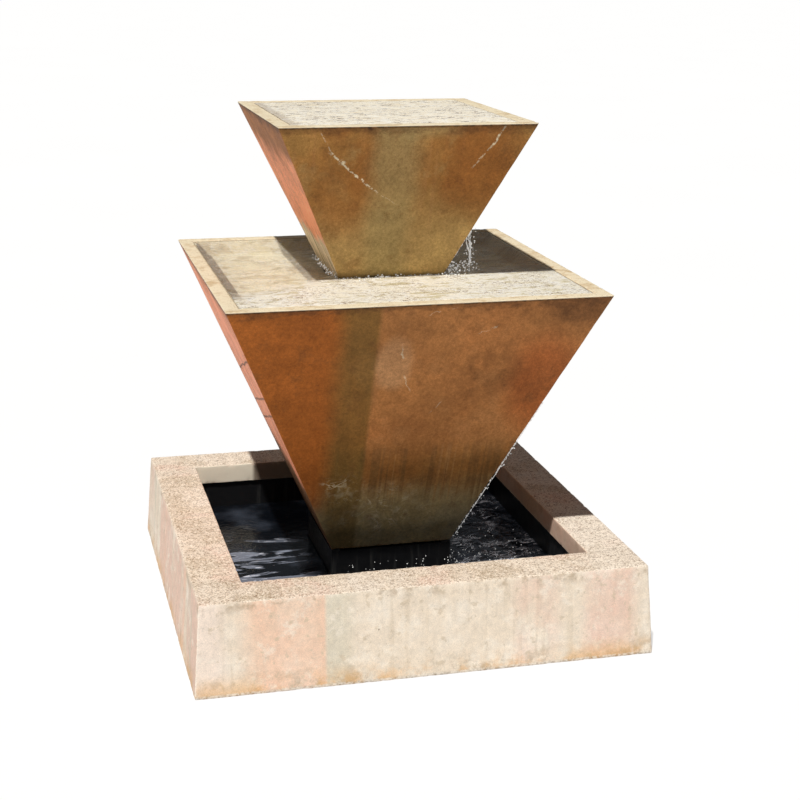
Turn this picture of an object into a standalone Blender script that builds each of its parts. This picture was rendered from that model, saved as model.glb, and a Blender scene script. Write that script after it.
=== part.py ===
"""Two-tier square water fountain: castings, pads, plumbing and a submersible pump as separate solids.

Metres, +Z up. The origin is the centre of the foot on the ground, and -Y is the front.
Run with: blender --background --python part.py
"""

import math
from dataclasses import dataclass

import bmesh
import bpy
from mathutils import Matrix, Vector

# Fits
REST_GAP = 0.0003  # left between faces that touch
SLIP_GAP = 0.0006  # radial or side clearance of a piece that slides into another
SEAL_GAP = 0.0020  # joint between a tray and its shell, filled by the sealant bead
CUT_OVERRUN = 0.010  # how far a cutter runs past the wall that it cuts

# Basin: a folded skin, open underneath between its outer and inner walls
BASIN_WIDTH = 1.220  # across the foot
BASIN_DRAFT = 0.0175  # how far each side leans in by the rim
BASIN_HEIGHT = 0.247
BASIN_RIM_WIDTH = 0.1265
BASIN_RIM_THICKNESS = 0.022
BASIN_SKIN = 0.020
BASIN_LIP_DEPTH = 0.058
BASIN_LIP_OVERHANG = 0.012
BASIN_INNER_WALL = 0.018
BASIN_FLOOR_UNDERSIDE = 0.010
BASIN_FLOOR_THICKNESS = 0.018
BASIN_PAD_WIDTH = 0.400  # middle of the floor, which also stands on the ground
LINER_THICKNESS = 0.003

# Drain in the basin's floor
DRAIN_FROM_WALL = 0.130
DRAIN_BORE_RADIUS = 0.014
DRAIN_WALL = 0.004
DRAIN_FLANGE_RADIUS = 0.030
DRAIN_FLANGE_THICKNESS = 0.004
DRAIN_GASKET_THICKNESS = 0.002
DRAIN_NUT_THICKNESS = 0.006
DRAIN_NUT_RADIUS = 0.027
DRAIN_TAIL = 0.008  # how far the drain body reaches below the floor
DRAIN_PLUG_TAPER = 0.0012
DRAIN_PLUG_HEAD_RADIUS = 0.020
DRAIN_PLUG_HEAD_THICKNESS = 0.005
DRAIN_TAB_SIZE = (0.006, 0.020, 0.018)

# Cord way through the rear walls
CORD_X = 0.150
CORD_HEIGHT = 0.150
CORD_GROMMET_NECK_RADIUS = 0.0115
CORD_GROMMET_FLANGE_RADIUS = 0.017
CORD_GROMMET_FLANGE_THICKNESS = 0.003
CORD_HOLE_RADIUS = 0.0045
CORD_NOTCH_WIDTH = 0.034
CORD_NOTCH_HEIGHT = 0.020

# Pedestal under the lower bowl
PEDESTAL_HEIGHT = 0.157
PEDESTAL_WALL = 0.028
INLET_WIDTH = 0.046
INLET_HEIGHT = 0.034
INLET_PITCH = 0.080
INLETS_PER_SIDE = 3
ACCESS_WIDTH = 0.200
ACCESS_HEIGHT = 0.098
PANEL_FLANGE_OVERLAP = 0.010
PANEL_FLANGE_THICKNESS = 0.004
PANEL_SPIGOT_DEPTH = 0.016
PANEL_SPIGOT_WALL = 0.006
PANEL_SLOT_WIDTH = 0.008
PANEL_SLOT_PITCH = 0.018
PANEL_SLOTS = 9
PANEL_SLOT_MARGIN = 0.016
PANEL_HANDLE_SIZE = (0.070, 0.014, 0.010)
BOWL_PAD_WIDTH = 0.024
BOWL_PAD_THICKNESS = 0.004

# Bowls: inverted square pyramids, each with a wedge-fit pool tray
LOWER_TOP_WIDTH = 0.998
LOWER_FOOT_WIDTH = 0.3414
LOWER_HEIGHT = 0.763
LOWER_POOL_DEPTH = 0.038
LOWER_SLAB_THICKNESS = 0.034
UPPER_TOP_WIDTH = 0.675
UPPER_FOOT_WIDTH = 0.2628
UPPER_HEIGHT = 0.4534
UPPER_POOL_DEPTH = 0.032
UPPER_SLAB_THICKNESS = 0.028
BOWL_RIM_WIDTH = 0.040
BOWL_SKIN = 0.021
BOWL_FLOOR_THICKNESS = 0.022
BOWL_LEDGE_WIDTH = 0.022
BOWL_LEDGE_DEPTH = 0.045
TRAY_EDGE_DROP = 0.004
TRAY_EDGE_WIDTH = 0.004
SEALANT_DEPTH = 0.012

# Sleeve that carries the hose up through the lower bowl
SLEEVE_RADIUS = 0.0375
SLEEVE_WALL = 0.003
SLEEVE_STAND = 0.057  # height above the lower pool's floor, clear of the water
SLEEVE_SEAL_WALL = 0.006
SLEEVE_SEAL_FLANGE = 0.007
SLEEVE_SEAL_FLANGE_THICKNESS = 0.003
UPPER_FOOT_HOLE_RADIUS = 0.055

# Riser hose and its clamps
HOSE_RADIUS = 0.016
HOSE_WALL = 0.0033
HOSE_BOW = 0.007
HOSE_STATIONS = 18
BARB_LENGTH = 0.030
BARB_BORE_RADIUS = 0.0095
BARB_RIDGES = 3
CLAMP_WIDTH = 0.012
CLAMP_BAND = 0.0009
CLAMP_SCREW_RADIUS = 0.0032
CLAMP_SCREW_LENGTH = 0.024
CLAMP_HOUSING_SIZE = (0.013, 0.015, 0.010)

# Outlet in the upper tray
OUTLET_THREAD_RADIUS = 0.0150
OUTLET_FLANGE_RADIUS = 0.027
OUTLET_FLANGE_THICKNESS = 0.0045
OUTLET_GASKET_THICKNESS = 0.0025
OUTLET_NUT_RADIUS = 0.026
OUTLET_NUT_THICKNESS = 0.012
OUTLET_THREAD_BELOW = 0.020
DIFFUSER_RADIUS = 0.031
DIFFUSER_HEIGHT = 0.014
DIFFUSER_WALL = 0.003
DIFFUSER_WINDOWS = 8
DIFFUSER_WINDOW_WIDTH = 0.012
DIFFUSER_WINDOW_HEIGHT = 0.008

# Pump, lying along Y with its intake at the rear
PUMP_RADIUS = 0.032
PUMP_FOOT_HEIGHT = 0.007
PUMP_FOOT_RADIUS = 0.009
PUMP_PLATE_WIDTH = 0.060
PUMP_PLATE_THICKNESS = 0.006
PUMP_PLATE_END = 0.005  # how far the motor reaches past its foot plate at each end
GLAND_ROOM = 0.0237  # between the gland and the pedestal's wall, for the lead to bend
ROTOR_WELL_RADIUS = 0.0135
MOTOR_REAR_WALL = 0.020
MOTOR_RIB_PITCH = 0.018
MOTOR_RIB_DEPTH = 0.002
VOLUTE_LENGTH = 0.034
VOLUTE_CHAMBER_RADIUS = 0.0235
VOLUTE_FRONT_WALL = 0.004
VOLUTE_EYE_RADIUS = 0.0120
VOLUTE_LIP_RADIUS = 0.028
VOLUTE_LIP_LENGTH = 0.006
VOLUTE_LIP_WALL = 0.003
SPOKE_WIDTH = 0.003
SPOKES = 3
PORT_RADIUS = 0.0155
PORT_BORE_RADIUS = 0.0110
PORT_HEIGHT = 0.014  # above the volute's top
SHAFT_RADIUS = 0.0020
BUSH_WALL = 0.0022
BUSH_LENGTH = 0.007
BUSH_END = 0.002
RUNNING_GAP = 0.00015
MAGNET_RADIUS = 0.0125
MAGNET_END_ROOM = 0.012  # between the magnet and the ends of its well, together
HUB_RADIUS = 0.0052
IMPELLER_RADIUS = 0.0195
IMPELLER_DISC = 0.0025
VANE_HEIGHT = 0.009
VANE_THICKNESS = 0.0014
VANE_SWEEP = math.radians(50)
VANES = 6
COVER_LENGTH = 0.044
COVER_WALL = 0.0025
COVER_SLOTS = 14
COVER_SLOT_WIDTH = 0.006
DIAL_RADIUS = 0.017
DIAL_THICKNESS = 0.005
DIAL_STEM_RADIUS = 0.0045
DIAL_GRIP_SIZE = (0.005, 0.028, 0.006)
SHUTTER_RADIUS = 0.022
SHUTTER_THICKNESS = 0.002
WINDOWS = 4
WINDOW_RADIUS = 0.0045
WINDOW_CIRCLE_RADIUS = 0.0135
PUMP_SCREWS = 4
SCREW_HEAD_RADIUS = 0.0028
SCREW_HEAD_THICKNESS = 0.0022
SCREW_RADIUS = 0.0015
SCREW_DEPTH = 0.008
SCREW_CIRCLE_RADIUS = 0.0282
SCREW_FIRST_ANGLE = math.radians(45)
ADAPTER_FLANGE_RADIUS = 0.0175
ADAPTER_FLANGE_THICKNESS = 0.008
ADAPTER_SPIGOT_LENGTH = 0.010
O_RING_SECTION_RADIUS = 0.0012
O_RING_SIDES = 6
GLAND_RADIUS = 0.0085
GLAND_LENGTH = 0.014
GLAND_BORE_RADIUS = 0.0045
GLAND_HEIGHT = 0.008  # above the pump's axis

# Sides of round pieces
FINE_SIDES = 24
SMALL_SIDES = 16

# Heights and half widths that follow from the sizes above
FOOT_HALF = BASIN_WIDTH / 2
RIM_HALF = FOOT_HALF - BASIN_DRAFT
OPENING_HALF = RIM_HALF - BASIN_RIM_WIDTH
INNER_HALF = OPENING_HALF + BASIN_LIP_OVERHANG
FLOOR_Z = BASIN_FLOOR_UNDERSIDE + BASIN_FLOOR_THICKNESS
LINER_Z = FLOOR_Z + REST_GAP
LINER_TOP_Z = LINER_Z + LINER_THICKNESS
LINER_HALF = INNER_HALF - SLIP_GAP
PEDESTAL_Z = LINER_TOP_Z + REST_GAP
PEDESTAL_TOP_Z = PEDESTAL_Z + PEDESTAL_HEIGHT
PEDESTAL_HALF = LOWER_FOOT_WIDTH / 2
PAD_STACK = BOWL_PAD_THICKNESS + 2 * REST_GAP
PUMP_AXIS_Z = LINER_TOP_Z + REST_GAP + PUMP_FOOT_HEIGHT + PUMP_PLATE_THICKNESS / 2 + PUMP_RADIUS
MOTOR_LENGTH = PEDESTAL_HALF - PEDESTAL_WALL - GLAND_ROOM - GLAND_LENGTH - VOLUTE_LENGTH / 2
ROTOR_WELL_DEPTH = MOTOR_LENGTH - MOTOR_REAR_WALL
MAGNET_LENGTH = ROTOR_WELL_DEPTH - MAGNET_END_ROOM
PUMP_PLATE_SIZE = (PUMP_PLATE_WIDTH, MOTOR_LENGTH - 2 * PUMP_PLATE_END, PUMP_PLATE_THICKNESS)
BARB_RADIUS = HOSE_RADIUS - HOSE_WALL - REST_GAP


@dataclass(frozen=True)
class Bowl:
    """Outer form and pool of one inverted pyramid."""

    foot_z: float
    height: float
    foot_half: float
    top_half: float
    pool_depth: float
    slab: float

    @property
    def top_z(self):
        return self.foot_z + self.height

    @property
    def slope(self):
        return (self.top_half - self.foot_half) / self.height

    @property
    def floor_z(self):
        return self.top_z - self.pool_depth

    @property
    def ledge_z(self):
        return self.floor_z - self.slab - REST_GAP

    def outer_half(self, z):
        return self.foot_half + self.slope * (z - self.foot_z)

    def rim_half(self, z):
        """Half width of the tapered seat behind the rim."""
        return self.outer_half(z) - BOWL_RIM_WIDTH


LOWER = Bowl(
    PEDESTAL_TOP_Z + PAD_STACK,
    LOWER_HEIGHT,
    LOWER_FOOT_WIDTH / 2,
    LOWER_TOP_WIDTH / 2,
    LOWER_POOL_DEPTH,
    LOWER_SLAB_THICKNESS,
)
UPPER = Bowl(
    LOWER.floor_z + PAD_STACK,
    UPPER_HEIGHT,
    UPPER_FOOT_WIDTH / 2,
    UPPER_TOP_WIDTH / 2,
    UPPER_POOL_DEPTH,
    UPPER_SLAB_THICKNESS,
)

COLOURS = {
    # name: (red, green, blue, roughness, metallic)
    "cream_cast_stone": (0.76, 0.64, 0.48, 0.85, 0.0),
    "rust_stained_stone": (0.33, 0.17, 0.07, 0.55, 0.0),
    "pool_stone": (0.74, 0.66, 0.47, 0.60, 0.0),
    "black_coating": (0.015, 0.015, 0.018, 0.45, 0.0),
    "liner_rubber": (0.012, 0.012, 0.014, 0.50, 0.0),
    "black_plastic": (0.020, 0.020, 0.022, 0.40, 0.0),
    "grey_plastic": (0.25, 0.26, 0.27, 0.45, 0.0),
    "seal_rubber": (0.03, 0.03, 0.03, 0.70, 0.0),
    "white_pvc": (0.78, 0.78, 0.75, 0.35, 0.0),
    "vinyl_hose": (0.55, 0.60, 0.58, 0.25, 0.0),
    "stainless_steel": (0.62, 0.61, 0.59, 0.25, 1.0),
    "ferrite_magnet": (0.08, 0.08, 0.085, 0.50, 0.3),
    "ceramic": (0.85, 0.84, 0.80, 0.20, 0.0),
    "sealant": (0.60, 0.54, 0.42, 0.60, 0.0),
}


def clear_scene():
    for old in list(bpy.data.objects):
        bpy.data.objects.remove(old)


def make_material(name):
    red, green, blue, roughness, metallic = COLOURS[name]
    material = bpy.data.materials.new(name)
    material.use_nodes = True
    shader = material.node_tree.nodes["Principled BSDF"]
    shader.inputs["Base Color"].default_value = (red, green, blue, 1.0)
    shader.inputs["Roughness"].default_value = roughness
    shader.inputs["Metallic"].default_value = metallic
    return material


def material_named(name):
    return bpy.data.materials.get(name) or make_material(name)


def finish(name, bm, material, at=(0.0, 0.0, 0.0), turn=(0.0, 0.0, 0.0), smooth=False):
    """Makes the object of a finished mesh, with its origin at a point and its local axes turned."""
    bmesh.ops.recalc_face_normals(bm, faces=bm.faces)
    mesh = bpy.data.meshes.new(name)
    bm.to_mesh(mesh)
    bm.free()
    if material:
        mesh.materials.append(material_named(material))
    if smooth:
        mesh.shade_smooth()
        mesh.set_sharp_from_angle(angle=math.radians(35))
    made = bpy.data.objects.new(name, mesh)
    bpy.context.scene.collection.objects.link(made)
    made.location = at
    made.rotation_euler = turn
    return made


def skin_loops(bm, loops, closed):
    """Joins loops of equal length into a skin: a ring if closed, else capped at both ends."""
    pairs = list(zip(loops, loops[1:]))
    if closed:
        pairs.append((loops[-1], loops[0]))
    for first, second in pairs:
        count = max(len(first), len(second))
        for i in range(count):
            j = (i + 1) % count
            if len(first) == 1:
                bm.faces.new((first[0], second[j], second[i]))
            elif len(second) == 1:
                bm.faces.new((first[i], first[j], second[0]))
            else:
                bm.faces.new((first[i], first[j], second[j], second[i]))
    if not closed:
        for end in (loops[0], loops[-1]):
            if len(end) > 1:
                bm.faces.new(end)


def square_solid(profile, closed=False):
    """Solid whose plan is a square at every height. The profile holds (half width, z) points."""
    bm = bmesh.new()
    loops = []
    for half, z in profile:
        corners = ((-half, -half), (half, -half), (half, half), (-half, half))
        loops.append([bm.verts.new((x, y, z)) for x, y in corners])
    skin_loops(bm, loops, closed)
    return bm


def turned_solid(profile, sides=FINE_SIDES, closed=False):
    """Solid turned about local Z, from (radius, z) points. A radius of 0 ends on the axis."""
    bm = bmesh.new()
    loops = []
    for radius, z in profile:
        if radius == 0:
            loops.append([bm.verts.new((0, 0, z))])
            continue
        angles = [2 * math.pi * i / sides for i in range(sides)]
        loops.append([bm.verts.new((radius * math.cos(a), radius * math.sin(a), z)) for a in angles])
    skin_loops(bm, loops, closed)
    return bm


def washer(inner, outer, low, high, sides=FINE_SIDES):
    return turned_solid([(inner, low), (outer, low), (outer, high), (inner, high)], sides, closed=True)


def rod(radius, low, high, sides=FINE_SIDES):
    return turned_solid([(radius, low), (radius, high)], sides)


def add_box(bm, centre, size, turn=None):
    """Adds a box, turned about the mesh's own origin if a matrix is given."""
    made = bmesh.ops.create_cube(bm, size=1.0)
    placed = Matrix.Translation(centre) @ Matrix.Diagonal((*size, 1.0))
    if turn:
        placed = turn @ placed
    bmesh.ops.transform(bm, matrix=placed, verts=made["verts"])


def box_solid(centre, size):
    bm = bmesh.new()
    add_box(bm, centre, size)
    return bm


def around_axis(count, first=0.0):
    """Turns about Z that spread copies evenly."""
    return [Matrix.Rotation(first + 2 * math.pi * i / count, 4, "Z") for i in range(count)]


def ring_of_boxes(centre, size, count, first=0.0):
    bm = bmesh.new()
    for turn in around_axis(count, first):
        add_box(bm, centre, size, turn)
    return bm


def ring_of_rods(radius, low, high, circle_radius, count, first=0.0):
    bm = bmesh.new()
    for turn in around_axis(count, first):
        made = bmesh.ops.create_cone(
            bm, cap_ends=True, segments=SMALL_SIDES, radius1=radius, radius2=radius, depth=high - low
        )
        placed = turn @ Matrix.Translation((circle_radius, 0, (low + high) / 2))
        bmesh.ops.transform(bm, matrix=placed, verts=made["verts"])
    return bm


def combine(target, bm, operation, label, at=None, turn=None):
    """Cuts a hidden helper from the target or joins it to it."""
    place = target.location if at is None else at
    angle = target.rotation_euler if turn is None else turn
    helper = finish(f"{target.name}_{label}", bm, None, place, angle)
    helper.hide_render = True
    helper.display_type = "WIRE"
    step = target.modifiers.new(label, "BOOLEAN")
    step.operation = operation
    step.solver = "EXACT"
    step.object = helper
    return target


def cut(target, bm, label, at=None, turn=None):
    return combine(target, bm, "DIFFERENCE", label, at, turn)


def join(target, bm, label, at=None, turn=None):
    return combine(target, bm, "UNION", label, at, turn)


def barb_profile(bore, base_z, direction):
    """Ridges of a hose barb as (radius, z) points, from its base to its tip and back down the bore."""
    step = BARB_LENGTH / BARB_RIDGES
    root = BARB_RADIUS - 0.0012
    points = []
    for i in range(BARB_RIDGES):
        z = base_z + direction * step * i
        points.append((root, z))
        points.append((BARB_RADIUS, z + direction * step * 0.25))
    points.append((root, base_z + direction * BARB_LENGTH))
    points.append((bore, base_z + direction * BARB_LENGTH))
    return points


# ---------------------------------------------------------------- basin


def make_basin():
    wall_back = INNER_HALF + BASIN_INNER_WALL
    under_rim = BASIN_HEIGHT - BASIN_RIM_THICKNESS
    lean = BASIN_DRAFT * under_rim / BASIN_HEIGHT
    lip_z = BASIN_HEIGHT - BASIN_LIP_DEPTH
    pad_half = BASIN_PAD_WIDTH / 2
    profile = [
        (pad_half, 0),
        (pad_half, BASIN_FLOOR_UNDERSIDE),
        (wall_back, BASIN_FLOOR_UNDERSIDE),
        (wall_back, under_rim),
        (FOOT_HALF - lean - BASIN_SKIN, under_rim),
        (FOOT_HALF - BASIN_SKIN, 0),
        (FOOT_HALF, 0),
        (RIM_HALF, BASIN_HEIGHT),
        (OPENING_HALF, BASIN_HEIGHT),
        (OPENING_HALF, lip_z),
        (INNER_HALF, lip_z),
        (INNER_HALF, FLOOR_Z),
    ]
    basin = finish("basin", square_solid(profile), "cream_cast_stone")
    drain_hole = rod(DRAIN_BORE_RADIUS + DRAIN_WALL + SLIP_GAP, -CUT_OVERRUN, LINER_TOP_Z)
    cut(basin, drain_hole, "drain_hole", drain_place())
    cut(basin, cord_hole_cutter(), "cord_hole", cord_place(), REAR_TURN)
    notch = box_solid(
        (CORD_X, FOOT_HALF - BASIN_SKIN / 2, 0),
        (CORD_NOTCH_WIDTH, BASIN_SKIN + 2 * CUT_OVERRUN, 2 * CORD_NOTCH_HEIGHT),
    )
    cut(basin, notch, "cord_notch")


REAR_TURN = (math.radians(-90), 0, 0)  # turns local Z to +Y


def drain_place():
    reach = INNER_HALF - DRAIN_FROM_WALL
    return (reach, reach, 0)


def cord_place():
    return (CORD_X, INNER_HALF, CORD_HEIGHT)


def cord_hole_cutter():
    """Reaches through the liner and the inner wall, in a frame whose Z points to the rear."""
    radius = CORD_GROMMET_NECK_RADIUS + REST_GAP
    return rod(radius, -LINER_THICKNESS - CUT_OVERRUN, BASIN_INNER_WALL + CUT_OVERRUN, SMALL_SIDES)


def make_liner():
    lip_z = BASIN_HEIGHT - BASIN_LIP_DEPTH
    inside = LINER_HALF - LINER_THICKNESS
    profile = [
        (LINER_HALF, LINER_Z),
        (LINER_HALF, lip_z - REST_GAP),
        (inside, lip_z - REST_GAP),
        (inside, LINER_TOP_Z),
    ]
    liner = finish("basin_liner", square_solid(profile), "liner_rubber")
    cut(liner, rod(DRAIN_BORE_RADIUS + DRAIN_WALL + SLIP_GAP, 0, BASIN_HEIGHT), "drain_hole", drain_place())
    cut(liner, cord_hole_cutter(), "cord_hole", cord_place(), REAR_TURN)


def make_cord_grommet():
    """Rubber bush that the pump's lead leaves the pool through."""
    front = -SLIP_GAP - LINER_THICKNESS - REST_GAP
    back = BASIN_INNER_WALL + REST_GAP
    flange = CORD_GROMMET_FLANGE_THICKNESS
    profile = [
        (CORD_HOLE_RADIUS, front - flange),
        (CORD_GROMMET_FLANGE_RADIUS, front - flange),
        (CORD_GROMMET_FLANGE_RADIUS, front),
        (CORD_GROMMET_NECK_RADIUS, front),
        (CORD_GROMMET_NECK_RADIUS, back),
        (CORD_GROMMET_FLANGE_RADIUS, back),
        (CORD_GROMMET_FLANGE_RADIUS, back + flange),
        (CORD_HOLE_RADIUS, back + flange),
    ]
    bm = turned_solid(profile, SMALL_SIDES, closed=True)
    finish("cord_grommet", bm, "seal_rubber", cord_place(), REAR_TURN, smooth=True)


def make_drain():
    at = drain_place()
    gasket_z = LINER_TOP_Z + REST_GAP
    flange_z = gasket_z + DRAIN_GASKET_THICKNESS + REST_GAP
    flange_top = flange_z + DRAIN_FLANGE_THICKNESS
    tube = DRAIN_BORE_RADIUS + DRAIN_WALL
    bottom = BASIN_FLOOR_UNDERSIDE - DRAIN_TAIL
    profile = [
        (DRAIN_BORE_RADIUS, bottom),
        (tube, bottom),
        (tube, flange_z),
        (DRAIN_FLANGE_RADIUS, flange_z),
        (DRAIN_FLANGE_RADIUS, flange_top),
        (DRAIN_BORE_RADIUS, flange_top),
    ]
    finish("drain_body", turned_solid(profile, closed=True), "grey_plastic", at, smooth=True)
    bm = washer(tube + SLIP_GAP, DRAIN_FLANGE_RADIUS, gasket_z, gasket_z + DRAIN_GASKET_THICKNESS)
    finish("drain_gasket", bm, "seal_rubber", at, smooth=True)
    nut_top = BASIN_FLOOR_UNDERSIDE - REST_GAP
    hexagon = rod(DRAIN_NUT_RADIUS, nut_top - DRAIN_NUT_THICKNESS, nut_top, 6)
    nut = finish("drain_nut", hexagon, "grey_plastic", at)
    cut(nut, rod(tube + SLIP_GAP, -CUT_OVERRUN, FLOOR_Z), "bore")

    head_z = flange_top + REST_GAP
    head_top = head_z + DRAIN_PLUG_HEAD_THICKNESS
    plug = DRAIN_BORE_RADIUS - REST_GAP
    profile = [
        (0, LINER_Z - LINER_THICKNESS),
        (plug - DRAIN_PLUG_TAPER, LINER_Z - LINER_THICKNESS),
        (plug, head_z),
        (DRAIN_PLUG_HEAD_RADIUS, head_z),
        (DRAIN_PLUG_HEAD_RADIUS, head_top),
        (0, head_top),
    ]
    stopper = finish("drain_plug", turned_solid(profile), "seal_rubber", at, smooth=True)
    tab_height = DRAIN_TAB_SIZE[2]
    join(stopper, box_solid((0, 0, head_top + tab_height / 2 - 0.001), DRAIN_TAB_SIZE), "pull_tab")


# ---------------------------------------------------------------- pedestal


def make_pedestal():
    inside = PEDESTAL_HALF - PEDESTAL_WALL
    profile = [
        (inside, PEDESTAL_Z),
        (PEDESTAL_HALF, PEDESTAL_Z),
        (PEDESTAL_HALF, PEDESTAL_TOP_Z),
        (inside, PEDESTAL_TOP_Z),
    ]
    pedestal = finish("pedestal", square_solid(profile, closed=True), "black_coating")
    through = PEDESTAL_WALL + 2 * CUT_OVERRUN
    wall_middle = PEDESTAL_HALF - PEDESTAL_WALL / 2
    inlets = bmesh.new()
    for i in range(INLETS_PER_SIDE):
        along = (i - (INLETS_PER_SIDE - 1) / 2) * INLET_PITCH
        add_box(inlets, (along, -wall_middle, PEDESTAL_Z), (INLET_WIDTH, through, 2 * INLET_HEIGHT))
        for side in (-1, 1):
            add_box(inlets, (side * wall_middle, along, PEDESTAL_Z), (through, INLET_WIDTH, 2 * INLET_HEIGHT))
    cut(pedestal, inlets, "inlets")
    access = box_solid((0, wall_middle, PEDESTAL_Z), (ACCESS_WIDTH, through, 2 * ACCESS_HEIGHT))
    cut(pedestal, access, "access")


def make_access_panel():
    """Slotted cover over the pump's access hole. Its origin is on the pedestal's rear face."""
    low = REST_GAP
    flange_high = ACCESS_HEIGHT + PANEL_FLANGE_OVERLAP
    flange_width = ACCESS_WIDTH + 2 * PANEL_FLANGE_OVERLAP
    flange = box_solid(
        (0, REST_GAP + PANEL_FLANGE_THICKNESS / 2, (low + flange_high) / 2),
        (flange_width, PANEL_FLANGE_THICKNESS, flange_high - low),
    )
    panel = finish("access_panel", flange, "black_plastic", (0, PEDESTAL_HALF, PEDESTAL_Z))
    width = ACCESS_WIDTH - 2 * SLIP_GAP
    high = ACCESS_HEIGHT - SLIP_GAP
    depth = PANEL_SPIGOT_DEPTH + REST_GAP + PANEL_FLANGE_THICKNESS / 2
    spigot_y = REST_GAP + PANEL_FLANGE_THICKNESS / 2 - depth / 2
    join(panel, box_solid((0, spigot_y, (low + high) / 2), (width, depth, high - low)), "spigot")
    hollow = box_solid(
        (0, -PANEL_SPIGOT_DEPTH, (low + high) / 2),
        (width - 2 * PANEL_SPIGOT_WALL, 2 * PANEL_SPIGOT_DEPTH, high - low - 2 * PANEL_SPIGOT_WALL),
    )
    cut(panel, hollow, "spigot_hollow")
    slots = bmesh.new()
    slot_high = high - 2 * PANEL_SLOT_MARGIN
    for i in range(PANEL_SLOTS):
        across = (i - (PANEL_SLOTS - 1) / 2) * PANEL_SLOT_PITCH
        add_box(slots, (across, 0, high / 2), (PANEL_SLOT_WIDTH, 4 * PANEL_SPIGOT_DEPTH, slot_high))
    cut(panel, slots, "slots")
    handle_y = REST_GAP + PANEL_FLANGE_THICKNESS + PANEL_HANDLE_SIZE[1] / 2 - 0.001
    handle_z = flange_high - PANEL_HANDLE_SIZE[2]
    join(panel, box_solid((0, handle_y, handle_z), PANEL_HANDLE_SIZE), "handle")


def make_pads(name, top_z, corner_half, first):
    """Four rubber pads that bed a bowl, one near each corner of its foot."""
    reach = corner_half - first - BOWL_PAD_WIDTH / 2
    size = (BOWL_PAD_WIDTH, BOWL_PAD_WIDTH, BOWL_PAD_THICKNESS)
    for number, (x, y) in enumerate(((-1, -1), (1, -1), (1, 1), (-1, 1)), 1):
        at = (x * reach, y * reach, top_z + REST_GAP + BOWL_PAD_THICKNESS / 2)
        finish(f"{name}_{number}", box_solid((0, 0, 0), size), "seal_rubber", at)


# ---------------------------------------------------------------- bowls


def make_shell(name, bowl, hole_radius):
    """Tapered walls and foot of a bowl, with a ledge inside for its tray."""
    ledge_half = bowl.rim_half(bowl.ledge_z)
    ledge_root_z = bowl.ledge_z - BOWL_LEDGE_DEPTH
    foot_top = bowl.foot_z + BOWL_FLOOR_THICKNESS
    profile = [
        (bowl.foot_half, bowl.foot_z),
        (bowl.top_half, bowl.top_z),
        (bowl.top_half - BOWL_RIM_WIDTH, bowl.top_z),
        (ledge_half, bowl.ledge_z),
        (ledge_half - BOWL_LEDGE_WIDTH, bowl.ledge_z),
        (bowl.outer_half(ledge_root_z) - BOWL_SKIN, ledge_root_z),
        (bowl.outer_half(foot_top) - BOWL_SKIN, foot_top),
    ]
    shell = finish(name, square_solid(profile), "rust_stained_stone")
    low = bowl.foot_z - CUT_OVERRUN
    cut(shell, rod(hole_radius, low, foot_top + CUT_OVERRUN), "pipe_hole")


def tray_edge(bowl):
    """(half width, z) of the tray's upper outer edge."""
    z = bowl.top_z - TRAY_EDGE_DROP
    return bowl.rim_half(z) - SEAL_GAP, z


def make_tray(name, bowl, hole_radius):
    """Pool floor with sloping sides that wedges into its shell."""
    edge_half, edge_z = tray_edge(bowl)
    underside = bowl.ledge_z + REST_GAP
    slope_top = edge_half - TRAY_EDGE_WIDTH
    profile = [
        (bowl.rim_half(underside) - SEAL_GAP, underside),
        (edge_half, edge_z),
        (slope_top, edge_z),
        (slope_top - (edge_z - bowl.floor_z), bowl.floor_z),
    ]
    tray = finish(name, square_solid(profile), "pool_stone")
    cut(tray, rod(hole_radius, underside - CUT_OVERRUN, bowl.floor_z + CUT_OVERRUN), "pipe_hole")


def make_sealant(name, bowl):
    """Bead that closes the joint round a tray."""
    _, edge_z = tray_edge(bowl)
    low = edge_z - SEALANT_DEPTH
    outer = [(bowl.rim_half(z) - REST_GAP, z) for z in (low, edge_z)]
    inner = [(bowl.rim_half(z) - SEAL_GAP + REST_GAP, z) for z in (edge_z, low)]
    finish(name, square_solid(outer + inner, closed=True), "sealant")


def sleeve_hole_radius():
    return SLEEVE_RADIUS + SLEEVE_SEAL_WALL + REST_GAP


def make_sleeve():
    """Stand pipe from the lower bowl's foot to above its pool, so that the pool can't drain down it."""
    bottom = LOWER.foot_z
    top = LOWER.floor_z + SLEEVE_STAND
    bm = washer(SLEEVE_RADIUS - SLEEVE_WALL, SLEEVE_RADIUS, bottom, top)
    finish("hose_sleeve", bm, "white_pvc", smooth=True)
    underside = LOWER.ledge_z + REST_GAP
    inner = SLEEVE_RADIUS + REST_GAP
    neck = SLEEVE_RADIUS + SLEEVE_SEAL_WALL
    flange_z = LOWER.floor_z + REST_GAP
    profile = [
        (inner, underside),
        (neck, underside),
        (neck, flange_z),
        (neck + SLEEVE_SEAL_FLANGE, flange_z),
        (neck + SLEEVE_SEAL_FLANGE, flange_z + SLEEVE_SEAL_FLANGE_THICKNESS),
        (inner, flange_z + SLEEVE_SEAL_FLANGE_THICKNESS),
    ]
    finish("sleeve_seal", turned_solid(profile, closed=True), "seal_rubber", smooth=True)


# ---------------------------------------------------------------- riser


def outlet_levels():
    """Heights of the outlet's flange, thread end and barb tip."""
    flange = UPPER.floor_z + OUTLET_GASKET_THICKNESS + 2 * REST_GAP
    thread_end = UPPER.ledge_z - OUTLET_THREAD_BELOW
    return flange, thread_end, thread_end - BARB_LENGTH


def adapter_base_z():
    return PUMP_AXIS_Z + PUMP_RADIUS + PORT_HEIGHT + 2 * O_RING_SECTION_RADIUS + 2 * REST_GAP


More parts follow.
